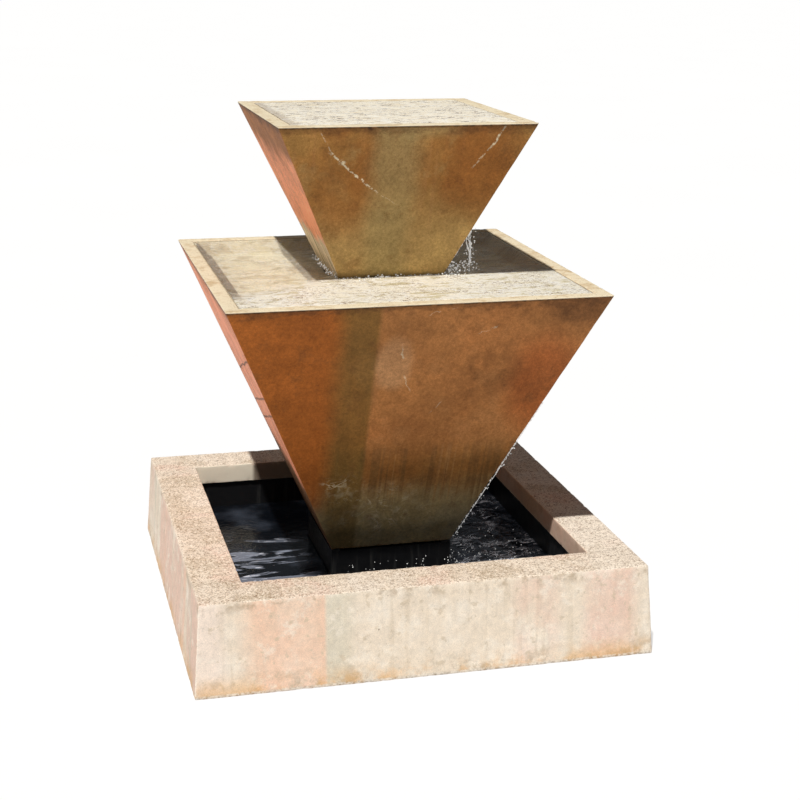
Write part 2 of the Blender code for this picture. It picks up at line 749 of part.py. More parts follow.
def hose_ends():
    """Where the hose starts on the pump's barb and ends on the outlet's."""
    low = adapter_base_z() + ADAPTER_FLANGE_THICKNESS + REST_GAP
    high = outlet_levels()[1] - REST_GAP
    return low, high


def hose_centre(z):
    """Middle of the hose, which bows a little between its straight ends."""
    low, high = hose_ends()
    free_low = low + BARB_LENGTH
    free_high = high - BARB_LENGTH
    share = min(1.0, max(0.0, (z - free_low) / (free_high - free_low)))
    swing = math.sin(math.pi * share) ** 2
    return Vector((HOSE_BOW * swing, 0.5 * HOSE_BOW * math.sin(2 * math.pi * share) * swing, z))


def make_hose():
    low, high = hose_ends()
    bm = bmesh.new()
    walls = []
    for radius in (HOSE_RADIUS, HOSE_RADIUS - HOSE_WALL):
        rings = []
        for i in range(HOSE_STATIONS + 1):
            centre = hose_centre(low + (high - low) * i / HOSE_STATIONS)
            angles = [2 * math.pi * k / SMALL_SIDES for k in range(SMALL_SIDES)]
            offsets = [Vector((radius * math.cos(a), radius * math.sin(a), 0)) for a in angles]
            rings.append([bm.verts.new(centre + offset) for offset in offsets])
        walls.append(rings)
    outer, inner = walls
    skin_loops(bm, outer + inner[::-1], closed=True)
    finish("riser_hose", bm, "vinyl_hose", smooth=True)


def make_clamp(name, z):
    """Worm-drive clamp round the hose, with its screw as a piece of its own."""
    inner = HOSE_RADIUS + REST_GAP
    outer = inner + CLAMP_BAND
    at = (0, 0, z)
    strap = washer(inner, outer, -CLAMP_WIDTH / 2, CLAMP_WIDTH / 2)
    band = finish(name, strap, "stainless_steel", at, smooth=True)
    middle = outer + CLAMP_HOUSING_SIZE[0] / 2 - CLAMP_BAND / 2
    join(band, box_solid((middle, 0, 0), CLAMP_HOUSING_SIZE), "housing")
    along_y = (math.radians(90), 0, 0)
    screw_at = (middle, 0, z)
    bore = rod(CLAMP_SCREW_RADIUS + REST_GAP, -CLAMP_SCREW_LENGTH, CLAMP_SCREW_LENGTH, SMALL_SIDES)
    cut(band, bore, "screw_bore", screw_at, along_y)
    half = CLAMP_SCREW_LENGTH / 2
    profile = [
        (0, -half),
        (CLAMP_SCREW_RADIUS, -half),
        (CLAMP_SCREW_RADIUS, half),
        (CLAMP_SCREW_RADIUS * 1.5, half),
        (CLAMP_SCREW_RADIUS * 1.5, half + CLAMP_SCREW_RADIUS),
        (0, half + CLAMP_SCREW_RADIUS),
    ]
    bm = turned_solid(profile, SMALL_SIDES)
    finish(f"{name}_screw", bm, "stainless_steel", screw_at, along_y, smooth=True)


def make_outlet():
    flange_z, thread_end, _ = outlet_levels()
    flange_top = flange_z + OUTLET_FLANGE_THICKNESS
    profile = [
        (BARB_BORE_RADIUS, flange_top),
        (OUTLET_FLANGE_RADIUS, flange_top),
        (OUTLET_FLANGE_RADIUS, flange_z),
        (OUTLET_THREAD_RADIUS, flange_z),
        (OUTLET_THREAD_RADIUS, thread_end),
        *barb_profile(BARB_BORE_RADIUS, thread_end, -1),
    ]
    finish("outlet_fitting", turned_solid(profile, closed=True), "grey_plastic", smooth=True)
    gasket_z = UPPER.floor_z + REST_GAP
    gasket_top = gasket_z + OUTLET_GASKET_THICKNESS
    bm = washer(OUTLET_THREAD_RADIUS + REST_GAP, OUTLET_FLANGE_RADIUS, gasket_z, gasket_top)
    finish("outlet_gasket", bm, "seal_rubber", smooth=True)
    nut_top = UPPER.ledge_z
    hexagon = rod(OUTLET_NUT_RADIUS, nut_top - OUTLET_NUT_THICKNESS, nut_top, 6)
    nut = finish("outlet_nut", hexagon, "grey_plastic")
    cut(nut, rod(OUTLET_THREAD_RADIUS + REST_GAP, thread_end, UPPER.top_z), "bore")

    low = flange_top + REST_GAP
    high = low + DIFFUSER_HEIGHT
    inside = DIFFUSER_RADIUS - DIFFUSER_WALL
    profile = [
        (0, high - DIFFUSER_WALL),
        (inside, high - DIFFUSER_WALL),
        (inside, low),
        (DIFFUSER_RADIUS, low),
        (DIFFUSER_RADIUS, high - DIFFUSER_WALL),
        (inside, high),
        (0, high),
    ]
    cap = finish("diffuser_cap", turned_solid(profile), "grey_plastic", smooth=True)
    window = (2 * DIFFUSER_WALL + 2 * REST_GAP + 0.004, DIFFUSER_WINDOW_WIDTH, 2 * DIFFUSER_WINDOW_HEIGHT)
    windows = ring_of_boxes((DIFFUSER_RADIUS, 0, low), window, DIFFUSER_WINDOWS)
    cut(cap, windows, "windows")
    legs = ring_of_boxes(
        (OUTLET_FLANGE_RADIUS - DIFFUSER_WALL, 0, (low + high) / 2),
        (DIFFUSER_WALL, DIFFUSER_WALL, high - low - DIFFUSER_WALL / 2),
        DIFFUSER_WINDOWS // 2,
        math.pi / DIFFUSER_WINDOWS,
    )
    join(cap, legs, "legs")


# ---------------------------------------------------------------- pump


def pump_piece(name, bm, material, smooth=True):
    """A piece modelled along local Z, laid along +Y with its origin on the pump's axis."""
    return finish(name, bm, material, (0, 0, PUMP_AXIS_Z), REAR_TURN, smooth)


def pump_points():
    """Places along the pump's axis, measured from the outlet port's middle."""
    volute_back = -VOLUTE_LENGTH / 2
    volute_front = VOLUTE_LENGTH / 2
    motor_front = volute_back - REST_GAP
    return volute_back, volute_front, motor_front


def make_motor():
    _, _, front = pump_points()
    back = front - MOTOR_LENGTH
    well = front - ROTOR_WELL_DEPTH
    seat = SHAFT_RADIUS + BUSH_WALL + REST_GAP
    seat_end = well - BUSH_LENGTH - REST_GAP
    profile = [
        (0, seat_end),
        (seat, seat_end),
        (seat, well),
        (ROTOR_WELL_RADIUS, well),
        (ROTOR_WELL_RADIUS, front),
        (PUMP_RADIUS, front),
    ]
    z = front - MOTOR_RIB_PITCH
    while z - MOTOR_RIB_PITCH > back + MOTOR_RIB_DEPTH:
        groove = PUMP_RADIUS - MOTOR_RIB_DEPTH
        half = MOTOR_RIB_PITCH / 4
        profile += [(PUMP_RADIUS, z + half), (groove, z + half), (groove, z - half), (PUMP_RADIUS, z - half)]
        z -= MOTOR_RIB_PITCH
    profile += [(PUMP_RADIUS, back + 0.006), (PUMP_RADIUS - 0.006, back), (0, back)]
    motor = pump_piece("pump_motor", turned_solid(profile), "black_plastic")
    plate_z = -PUMP_RADIUS
    plate_y = front - MOTOR_LENGTH / 2
    plate = box_solid((0, plate_y, plate_z), PUMP_PLATE_SIZE)
    join(motor, plate, "foot_plate", (0, 0, PUMP_AXIS_Z), (0, 0, 0))
    screws = ring_of_rods(
        SCREW_RADIUS + REST_GAP,
        front - SCREW_DEPTH,
        front + CUT_OVERRUN,
        SCREW_CIRCLE_RADIUS,
        PUMP_SCREWS,
        SCREW_FIRST_ANGLE,
    )
    cut(motor, screws, "screw_holes")
    gland_seat = rod(GLAND_RADIUS * 0.7 + REST_GAP, back - CUT_OVERRUN, back + 0.008, SMALL_SIDES)
    gland_at = (0, 0, PUMP_AXIS_Z + GLAND_HEIGHT)
    cut(motor, gland_seat, "gland_seat", gland_at, REAR_TURN)
    seat_depth = 0.007
    profile = [
        (GLAND_BORE_RADIUS, back - GLAND_LENGTH),
        (GLAND_RADIUS * 0.75, back - GLAND_LENGTH),
        (GLAND_RADIUS, back - REST_GAP),
        (GLAND_RADIUS * 0.7, back - REST_GAP),
        (GLAND_RADIUS * 0.7, back + seat_depth),
        (GLAND_BORE_RADIUS, back + seat_depth),
    ]
    bm = turned_solid(profile, SMALL_SIDES, closed=True)
    finish("pump_cord_gland", bm, "seal_rubber", gland_at, REAR_TURN, smooth=True)


def make_pump_feet():
    _, _, front = pump_points()
    middle = front - MOTOR_LENGTH / 2
    reach_x = PUMP_PLATE_SIZE[0] / 2 - PUMP_FOOT_RADIUS
    reach_y = PUMP_PLATE_SIZE[1] / 2 - PUMP_FOOT_RADIUS
    plate_low = PUMP_AXIS_Z - PUMP_RADIUS - PUMP_PLATE_SIZE[2] / 2
    top = plate_low - REST_GAP
    bottom = LINER_TOP_Z + REST_GAP
    neck = PUMP_FOOT_RADIUS * 0.55
    cup = (top - bottom) * 0.4
    profile = [
        (0, bottom + cup * 0.6),
        (PUMP_FOOT_RADIUS * 0.9, bottom),
        (PUMP_FOOT_RADIUS, bottom),
        (neck, bottom + cup),
        (neck, top),
        (0, top),
    ]
    for number, (x, y) in enumerate(((-1, -1), (1, -1), (1, 1), (-1, 1)), 1):
        at = (x * reach_x, middle + y * reach_y, 0)
        finish(f"pump_foot_{number}", turned_solid(profile, SMALL_SIDES), "seal_rubber", at, smooth=True)


def make_volute():
    back, front, _ = pump_points()
    wall = front - VOLUTE_FRONT_WALL
    lip_inner = VOLUTE_LIP_RADIUS - VOLUTE_LIP_WALL
    profile = [
        (VOLUTE_CHAMBER_RADIUS, back),
        (PUMP_RADIUS, back),
        (PUMP_RADIUS, front),
        (VOLUTE_LIP_RADIUS, front),
        (VOLUTE_LIP_RADIUS, front + VOLUTE_LIP_LENGTH),
        (lip_inner, front + VOLUTE_LIP_LENGTH),
        (lip_inner, front),
        (VOLUTE_EYE_RADIUS, front),
        (VOLUTE_EYE_RADIUS, wall),
        (VOLUTE_CHAMBER_RADIUS, wall),
    ]
    volute = pump_piece("pump_volute", turned_solid(profile, closed=True), "black_plastic")
    upright = ((0, 0, PUMP_AXIS_Z), (0, 0, 0))
    port_top = PUMP_RADIUS + PORT_HEIGHT
    join(volute, rod(PORT_RADIUS, VOLUTE_CHAMBER_RADIUS + 0.003, port_top), "port", *upright)
    port_bore = rod(PORT_BORE_RADIUS, VOLUTE_CHAMBER_RADIUS - 0.006, port_top + CUT_OVERRUN)
    cut(volute, port_bore, "port_bore", *upright)
    boss = SHAFT_RADIUS + 2 * BUSH_WALL + REST_GAP
    spokes = ring_of_boxes(
        ((boss + VOLUTE_EYE_RADIUS) / 2, 0, front - VOLUTE_FRONT_WALL / 2),
        (VOLUTE_EYE_RADIUS - boss + 0.003, SPOKE_WIDTH, VOLUTE_FRONT_WALL * 0.8),
        SPOKES,
    )
    join(volute, spokes, "spokes")
    join(volute, rod(boss, wall + 0.0003, wall + BUSH_LENGTH + BUSH_END), "bush_boss")
    seat = SHAFT_RADIUS + BUSH_WALL + REST_GAP
    cut(volute, rod(seat, wall - CUT_OVERRUN, wall + BUSH_LENGTH), "bush_seat")
    holes = ring_of_rods(
        SCREW_RADIUS + REST_GAP,
        back - CUT_OVERRUN,
        front + CUT_OVERRUN,
        SCREW_CIRCLE_RADIUS,
        PUMP_SCREWS,
        SCREW_FIRST_ANGLE,
    )
    cut(volute, holes, "screw_holes")
    heads = ring_of_rods(
        SCREW_HEAD_RADIUS + REST_GAP,
        front - SCREW_HEAD_THICKNESS - REST_GAP,
        front + CUT_OVERRUN,
        SCREW_CIRCLE_RADIUS,
        PUMP_SCREWS,
        SCREW_FIRST_ANGLE,
    )
    cut(volute, heads, "screw_head_seats")


def make_pump_screws():
    _, front, motor_front = pump_points()
    end = motor_front - SCREW_DEPTH + REST_GAP
    under_head = front - SCREW_HEAD_THICKNESS
    profile = [
        (0, end),
        (SCREW_RADIUS, end),
        (SCREW_RADIUS, under_head),
        (SCREW_HEAD_RADIUS, under_head),
        (SCREW_HEAD_RADIUS, front - REST_GAP),
        (0, front - REST_GAP),
    ]
    for number, turn in enumerate(around_axis(PUMP_SCREWS, SCREW_FIRST_ANGLE), 1):
        x, y, _ = turn @ Vector((SCREW_CIRCLE_RADIUS, 0, 0))
        bm = turned_solid(profile, 12)
        finish(f"pump_screw_{number}", bm, "stainless_steel", (x, 0, PUMP_AXIS_Z - y), REAR_TURN, smooth=True)


def make_shaft_and_bushes():
    _, front, motor_front = pump_points()
    well = motor_front - ROTOR_WELL_DEPTH
    wall = front - VOLUTE_FRONT_WALL
    outer = SHAFT_RADIUS + BUSH_WALL
    bore = SHAFT_RADIUS + REST_GAP
    rear_end = well - BUSH_LENGTH
    front_end = wall + BUSH_LENGTH - REST_GAP
    rear = [(0, rear_end), (outer, rear_end), (outer, well), (bore, well), (bore, rear_end + BUSH_END)]
    rear.append((0, rear_end + BUSH_END))
    nose = [(0, front_end), (outer, front_end), (outer, wall), (bore, wall), (bore, front_end - BUSH_END)]
    nose.append((0, front_end - BUSH_END))
    pump_piece("shaft_bush_rear", turned_solid(rear, SMALL_SIDES), "seal_rubber")
    pump_piece("shaft_bush_front", turned_solid(nose, SMALL_SIDES), "seal_rubber")
    low = rear_end + BUSH_END + REST_GAP
    high = front_end - BUSH_END - REST_GAP
    pump_piece("pump_shaft", rod(SHAFT_RADIUS, low, high, SMALL_SIDES), "ceramic")


def vane_solid(low, high):
    """Swept vanes on the impeller's disc."""
    bm = bmesh.new()
    steps = 6
    inner = HUB_RADIUS - 0.0005
    outer = IMPELLER_RADIUS - 0.0003
    for turn in around_axis(VANES):
        sides = []
        for offset in (-VANE_THICKNESS / 2, VANE_THICKNESS / 2):
            line = []
            for i in range(steps + 1):
                share = i / steps
                radius = inner + (outer - inner) * share
                angle = VANE_SWEEP * share + offset / radius
                line.append(turn @ Vector((radius * math.cos(angle), radius * math.sin(angle), 0)))
            sides.append(line)
        outline = sides[0] + sides[1][::-1]
        loops = [[bm.verts.new((p.x, p.y, z)) for p in outline] for z in (low, high)]
        skin_loops(bm, loops, closed=False)
    return bm


def make_rotor():
    _, _, motor_front = pump_points()
    well = motor_front - ROTOR_WELL_DEPTH
    magnet_low = well + 0.002
    magnet_high = magnet_low + MAGNET_LENGTH
    bore = SHAFT_RADIUS + RUNNING_GAP
    disc_low = motor_front + 0.0015
    disc_high = disc_low + IMPELLER_DISC
    hub_high = disc_high + VANE_HEIGHT
    profile = [
        (bore, magnet_low),
        (HUB_RADIUS, magnet_low),
        (HUB_RADIUS, disc_low),
        (IMPELLER_RADIUS, disc_low),
        (IMPELLER_RADIUS, disc_high),
        (HUB_RADIUS, disc_high),
        (HUB_RADIUS, hub_high),
        (bore, hub_high),
    ]
    impeller = pump_piece("pump_impeller", turned_solid(profile, closed=True), "grey_plastic")
    join(impeller, vane_solid(disc_high - 0.0006, hub_high - 0.0004), "vanes")
    bm = washer(HUB_RADIUS + REST_GAP, MAGNET_RADIUS, magnet_low, magnet_high)
    pump_piece("rotor_magnet", bm, "ferrite_magnet")


def make_intake_cover():
    """Strainer that slips over the volute's lip, with windows behind the flow dial."""
    _, front, _ = pump_points()
    back = front + REST_GAP
    end = back + COVER_LENGTH
    outer = VOLUTE_LIP_RADIUS + SLIP_GAP + COVER_WALL
    inner = outer - COVER_WALL
    profile = [
        (inner, back),
        (outer, back),
        (outer, end - COVER_WALL),
        (outer - COVER_WALL, end),
        (DIAL_STEM_RADIUS + SLIP_GAP, end),
        (DIAL_STEM_RADIUS + SLIP_GAP, end - COVER_WALL),
        (inner, end - COVER_WALL),
    ]
    cover = pump_piece("intake_cover", turned_solid(profile, closed=True), "black_plastic")
    slot_low = back + VOLUTE_LIP_LENGTH + 0.005
    slot_high = end - 0.009
    slots = ring_of_boxes(
        (outer, 0, (slot_low + slot_high) / 2),
        (4 * COVER_WALL, COVER_SLOT_WIDTH, slot_high - slot_low),
        COVER_SLOTS,
    )
    cut(cover, slots, "slots")
    cut(cover, window_cutter(end), "windows")
    return end


def window_cutter(z):
    return ring_of_rods(WINDOW_RADIUS, z - 0.012, z + 0.012, WINDOW_CIRCLE_RADIUS, WINDOWS)


def make_dial(cover_end):
    """Dial and shutter that turn together to open or close the windows."""
    inside = cover_end - COVER_WALL
    shutter_high = inside - REST_GAP
    shutter_low = shutter_high - SHUTTER_THICKNESS
    dial_low = cover_end + REST_GAP
    dial_high = dial_low + DIAL_THICKNESS
    bore = DIAL_STEM_RADIUS + REST_GAP
    disc = washer(bore, SHUTTER_RADIUS, shutter_low, shutter_high)
    shutter = pump_piece("flow_shutter", disc, "black_plastic")
    cut(shutter, window_cutter(shutter_high), "windows")
    profile = [
        (0, shutter_low - 0.002),
        (DIAL_STEM_RADIUS, shutter_low - 0.002),
        (DIAL_STEM_RADIUS, dial_low),
        (WINDOW_CIRCLE_RADIUS - WINDOW_RADIUS - 0.001, dial_low),
        (WINDOW_CIRCLE_RADIUS - WINDOW_RADIUS - 0.001, dial_high),
        (0, dial_high),
    ]
    dial = pump_piece("flow_dial", turned_solid(profile), "grey_plastic")
    grip = (DIAL_GRIP_SIZE[0], DIAL_GRIP_SIZE[1], DIAL_GRIP_SIZE[2])
    join(dial, box_solid((0, 0, dial_high + DIAL_GRIP_SIZE[2] / 2 - 0.001), grip), "grip")


def make_outlet_adapter():
    port_top = PUMP_AXIS_Z + PUMP_RADIUS + PORT_HEIGHT
    base = adapter_base_z()
    spigot = PORT_BORE_RADIUS - REST_GAP
    barb_base = base + ADAPTER_FLANGE_THICKNESS
    profile = [
        (BARB_BORE_RADIUS, port_top - ADAPTER_SPIGOT_LENGTH),
        (spigot, port_top - ADAPTER_SPIGOT_LENGTH),
        (spigot, base),
        (ADAPTER_FLANGE_RADIUS, base),
        (ADAPTER_FLANGE_RADIUS, barb_base),
        *barb_profile(BARB_BORE_RADIUS, barb_base, 1),
    ]
    finish("hose_adapter", turned_solid(profile, closed=True), "grey_plastic", smooth=True)
    ring_z = port_top + REST_GAP + O_RING_SECTION_RADIUS
    ring_radius = spigot + REST_GAP + O_RING_SECTION_RADIUS
    section = []
    for i in range(O_RING_SIDES):
        angle = 2 * math.pi * i / O_RING_SIDES
        section.append(
            (
                ring_radius + O_RING_SECTION_RADIUS * math.cos(angle),
                ring_z + O_RING_SECTION_RADIUS * math.sin(angle),
            )
        )
    finish("outlet_o_ring", turned_solid(section, closed=True), "seal_rubber", smooth=True)


def main():
    clear_scene()
    make_basin()
    make_liner()
    make_cord_grommet()
    make_drain()
    make_pedestal()
    make_access_panel()
    make_pads("lower_bowl_pad", PEDESTAL_TOP_Z, PEDESTAL_HALF, SLIP_GAP)
    make_shell("lower_bowl_shell", LOWER, SLEEVE_RADIUS + REST_GAP)
    make_tray("lower_bowl_tray", LOWER, sleeve_hole_radius())
    make_sealant("lower_tray_sealant", LOWER)
    make_sleeve()
    make_pads("upper_bowl_pad", LOWER.floor_z, UPPER.foot_half, SLIP_GAP)
    make_shell("upper_bowl_shell", UPPER, UPPER_FOOT_HOLE_RADIUS)
    make_tray("upper_bowl_tray", UPPER, OUTLET_THREAD_RADIUS + REST_GAP)
    make_sealant("upper_tray_sealant", UPPER)
    make_outlet()
    make_motor()
    make_pump_feet()
    make_volute()
    make_pump_screws()
    make_shaft_and_bushes()
    make_rotor()
    make_dial(make_intake_cover())
    make_outlet_adapter()
    make_hose()
    low, high = hose_ends()
    make_clamp("pump_hose_clamp", low + BARB_LENGTH / 2)
    make_clamp("outlet_hose_clamp", high - BARB_LENGTH / 2)


main()
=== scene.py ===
"""Finished look of a square, two-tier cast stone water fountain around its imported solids.

Everything is in metres, +Z up, with the fountain's front towards -Y.
"""

from __future__ import annotations

import logging
import math
from collections.abc import Iterable, Sequence
from dataclasses import dataclass, field
from enum import Enum
from typing import Any

import bpy
import numpy as np
from mathutils import Matrix, Vector, noise


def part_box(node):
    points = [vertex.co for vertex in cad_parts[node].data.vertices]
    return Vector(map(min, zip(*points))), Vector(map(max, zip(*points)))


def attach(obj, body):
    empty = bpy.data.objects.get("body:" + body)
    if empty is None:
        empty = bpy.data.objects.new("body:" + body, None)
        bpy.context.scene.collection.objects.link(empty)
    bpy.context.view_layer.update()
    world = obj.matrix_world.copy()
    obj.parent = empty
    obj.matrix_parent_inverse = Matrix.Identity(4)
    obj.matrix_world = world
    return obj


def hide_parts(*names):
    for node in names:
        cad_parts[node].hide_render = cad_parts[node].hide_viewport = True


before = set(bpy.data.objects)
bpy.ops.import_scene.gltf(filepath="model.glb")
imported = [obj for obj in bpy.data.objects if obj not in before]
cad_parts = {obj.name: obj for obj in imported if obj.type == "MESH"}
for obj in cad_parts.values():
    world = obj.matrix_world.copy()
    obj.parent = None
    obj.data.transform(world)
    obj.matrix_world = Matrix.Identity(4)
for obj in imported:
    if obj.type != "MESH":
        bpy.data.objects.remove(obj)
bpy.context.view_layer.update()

LOG = logging.getLogger("fountain")
ROOT_BODY = "fountain"
GAP = 0.0004
BASIN_LEVEL = 0.110
POOL_DROP = 0.0022
FILM_DROP = 0.0016
WATER_IOR = 1.33

Socket = bpy.types.NodeSocket
Value = float | Socket
Colour = tuple[float, float, float, float]
Point = tuple[float, float, float]
Strip = tuple[Point, Point, Point, Point]
Spot = tuple[float, float]

WHITE: Colour = (1.0, 1.0, 1.0, 1.0)


def tone(red: float, green: float, blue: float) -> Colour:
    """Turns an 8-bit display colour into the linear colour that shaders use.

    Args:
        red: Red, from 0 to 255.
        green: Green, from 0 to 255.
        blue: Blue, from 0 to 255.

    Returns:
        The linear colour, with full alpha.
    """
    linear = []
    for channel in (red, green, blue):
        share = channel / 255
        linear.append(share / 12.92 if share <= 0.04045 else ((share + 0.055) / 1.055) ** 2.4)
    return (*linear, 1.0)


def linked(name: str, data: Any) -> bpy.types.Object:
    """Makes an object of some data and puts it in the scene.

    Args:
        name: The object's name.
        data: Its mesh, camera or light.

    Returns:
        The object, at the origin.
    """
    made = bpy.data.objects.new(name, data)
    bpy.context.scene.collection.objects.link(made)
    return made


# ------------------------------------------------------------------ painting


@dataclass(frozen=True)
class Faces:
    """Sockets that place a pattern on the faces of a square casting."""

    x: Socket
    y: Socket
    z: Socket
    along: Socket
    spread: Socket
    front: Socket
    left: Socket
    top: Socket


class Nodes:
    """A node tree that is built a node at a time."""

    def __init__(self, tree: bpy.types.NodeTree) -> None:
        """Takes the tree."""
        self.tree = tree

    def feed(self, socket: Socket, value: Any) -> None:
        """Links or sets an input.

        Args:
            socket: The input.
            value: A socket to link, or a constant.
        """
        if isinstance(value, bpy.types.NodeSocket):
            self.tree.links.new(value, socket)
        else:
            socket.default_value = value

    def node(self, kind: str, inputs: dict[Any, Any], **settings: Any) -> bpy.types.Node:
        """Adds a node.

        Args:
            kind: The node's type.
            inputs: Its input names or numbers, with what each one gets.
            **settings: The node's own properties.

        Returns:
            The node.
        """
        made = self.tree.nodes.new(kind)
        for name, value in settings.items():
            setattr(made, name, value)
        for key, value in inputs.items():
            self.feed(made.inputs[key], value)
        return made


class Paint(Nodes):
    """Builds one material, a named step at a time, on Object coordinates."""

    def __init__(self, name: str) -> None:
        """Starts the material with one Principled shader.

        Args:
            name: The material's name.
        """
        self.material = bpy.data.materials.new(name)
        self.material.use_nodes = True
        super().__init__(self.material.node_tree)
        self.tree.nodes.clear()
        self.shader = self.node("ShaderNodeBsdfPrincipled", {})
        self.node("ShaderNodeOutputMaterial", {"Surface": self.shader.outputs["BSDF"]})
        self.place = self.node("ShaderNodeTexCoord", {}).outputs["Object"]

    def math(self, operation: str, first: Value, second: Value = 0.0, clamp: bool = False) -> Socket:
        """Returns the result of one Math node."""
        made = self.node("ShaderNodeMath", {0: first, 1: second}, operation=operation, use_clamp=clamp)
        return made.outputs[0]

    def product(self, *values: Value) -> Socket:
        """Returns the product of several values.

        Args:
            *values: What is multiplied.

        Returns:
            The product.
        """
        total = values[0]
        for value in values[1:]:
            total = self.math("MULTIPLY", total, value)
        return total

    def inverse(self, value: Value) -> Socket:
        """Returns one minus a value."""
        return self.math("SUBTRACT", 1.0, value)

    def step(self, value: Value, low: float, high: float) -> Socket:
        """Rises smoothly from 0 at low to 1 at high, or falls if low is above high.

        Args:
            value: The value.
            low: Where it is 0, or starts.
            high: Where it is 1, or ends.

        Returns:
            The stepped value.
        """
        inputs = {"Value": value, "From Min": min(low, high), "From Max": max(low, high)}
        made = self.node("ShaderNodeMapRange", inputs, interpolation_type="SMOOTHSTEP")
        risen = made.outputs["Result"]
        return risen if low < high else self.inverse(risen)

    def band(self, value: Value, low: float, high: float, soft: float) -> Socket:
        """Is 1 between low and high, with edges this soft.

        Args:
            value: The value.
            low: Where it is 0, or starts.
            high: Where it is 1, or ends.
            soft: Width of the edges.

        Returns:
            The value.
        """
        rise = self.step(value, low - soft, low + soft)
        fall = self.step(value, high + soft, high - soft)
        return self.product(rise, fall)

    def stretched(self, vector: Socket, scale: Sequence[float], shift: float = 0.0) -> Socket:
        """Returns coordinates scaled on each axis and shifted by a seed."""
        inputs = {"Vector": vector, "Scale": tuple(scale), "Location": (shift, shift * 0.7, shift * 0.3)}
        return self.node("ShaderNodeMapping", inputs).outputs["Vector"]

    def noise(
        self,
        vector: Socket,
        scale: float | Sequence[float],
        detail: float = 3.0,
        roughness: float = 0.55,
        shift: float = 0.0,
        warp: float = 0.0,
    ) -> Socket:
        """Returns fractal noise.

        Args:
            vector: The coordinates.
            scale: Features per metre, as one number or one for each axis.
            detail: Octaves.
            roughness: How strong the fine octaves are.
            shift: Moves the pattern, as a seed.
            warp: Distortion.

        Returns:
            The noise, from 0 to 1, about 0.5.
        """
        each = (scale,) * 3 if isinstance(scale, (int, float)) else tuple(scale)
        inputs = {
            "Vector": self.stretched(vector, each, shift),
            "Scale": 1.0,
            "Detail": detail,
            "Roughness": roughness,
            "Distortion": warp,
        }
        return self.node("ShaderNodeTexNoise", inputs).outputs["Fac"]

    def cells(self, vector: Socket, scale: Sequence[float], shift: float) -> Socket:
        """Returns the distance from the nearest point of a random lattice."""
        inputs = {"Vector": self.stretched(vector, scale, shift), "Scale": 1.0}
        return self.node("ShaderNodeTexVoronoi", inputs).outputs["Distance"]

    def mix(self, share: Value, first: Any, second: Any, blend: str = "MIX") -> Socket:
        """Mixes two colours.

        Args:
            share: How much of the second shows, from 0 to 1.
            first: A colour or socket.
            second: A colour or socket.
            blend: The blend type.

        Returns:
            The mixed colour.
        """
        made = self.node("ShaderNodeMix", {}, data_type="RGBA", blend_type=blend)
        self.feed(made.inputs[0], share)
        self.feed(made.inputs[6], first)
        self.feed(made.inputs[7], second)
        return made.outputs[2]

    def layers(self, base: Any, *coats: tuple[Value, Any]) -> Socket:
        """Lays colours over a base, each with its share.

        Args:
            base: Colour underneath.
            *coats: Shares and colours, lowest first.

        Returns:
            The top colour.
        """
        for share, colour in coats:
            base = self.mix(share, base, colour)
        return base

    def ranged(self, share: Value, low: float, high: float) -> Socket:
        """Runs from low to high as share runs from 0 to 1."""
        inputs = {"Value": share, "To Min": low, "To Max": high}
        return self.node("ShaderNodeMapRange", inputs).outputs["Result"]

    def axes(self, vector: Socket | None = None) -> Sequence[Socket]:
        """Returns the x, y and z of a vector, or of the point being painted."""
        return self.node("ShaderNodeSeparateXYZ", {0: vector or self.place}).outputs

    def normal(self) -> Socket:
        """Returns the way the surface faces."""
        return self.node("ShaderNodeNewGeometry", {}).outputs["Normal"]

    def patches(
        self, vector: Socket, scale: float | Sequence[float], low: float, high: float, **pattern: float
    ) -> Socket:
        """Returns soft-edged patches: a noise that rises from 0 at low to 1 at high."""
        return self.step(self.noise(vector, scale, **pattern), low, high)

    def scaled(self, colour: Any, low: float, high: float, share: Value) -> Socket:
        """Multiplies a colour by a grey that runs from low to high with share."""
        return self.mix(1.0, colour, self.ranged(share, low, high), "MULTIPLY")

    def toned(self, colour: Any, share: Value, low: float, high: float) -> Socket:
        """Darkens and lightens a colour with a noise that mostly lies between 0.3 and 0.7."""
        return self.scaled(colour, low, high, self.step(share, 0.3, 0.7))

    def ridge(self, share: Value, width: float, level: float = 0.5) -> Socket:
        """Is 1 on the thin curves where a noise crosses a level."""
        return self.step(self.math("ABSOLUTE", self.math("SUBTRACT", share, level)), width, width * 0.2)

    def blob(self, u: Socket, v: Socket, centre: Spot, size: Spot, soft: float) -> Socket:
        """Is 1 inside an ellipse on a face and falls to 0 over a share of its size.

        Args:
            u: Coordinate along the face.
            v: Height on the face.
            centre: Its middle, as (u, v).
            size: Its half sizes.
            soft: Width of the edges.

        Returns:
            1 inside, falling to 0.
        """
        across = self.math("DIVIDE", self.math("SUBTRACT", u, centre[0]), size[0])
        up = self.math("DIVIDE", self.math("SUBTRACT", v, centre[1]), size[1])
        square = self.math("ADD", self.product(across, across), self.product(up, up))
        return self.step(self.math("SQRT", square), 1.0 + soft, 1.0 - soft)

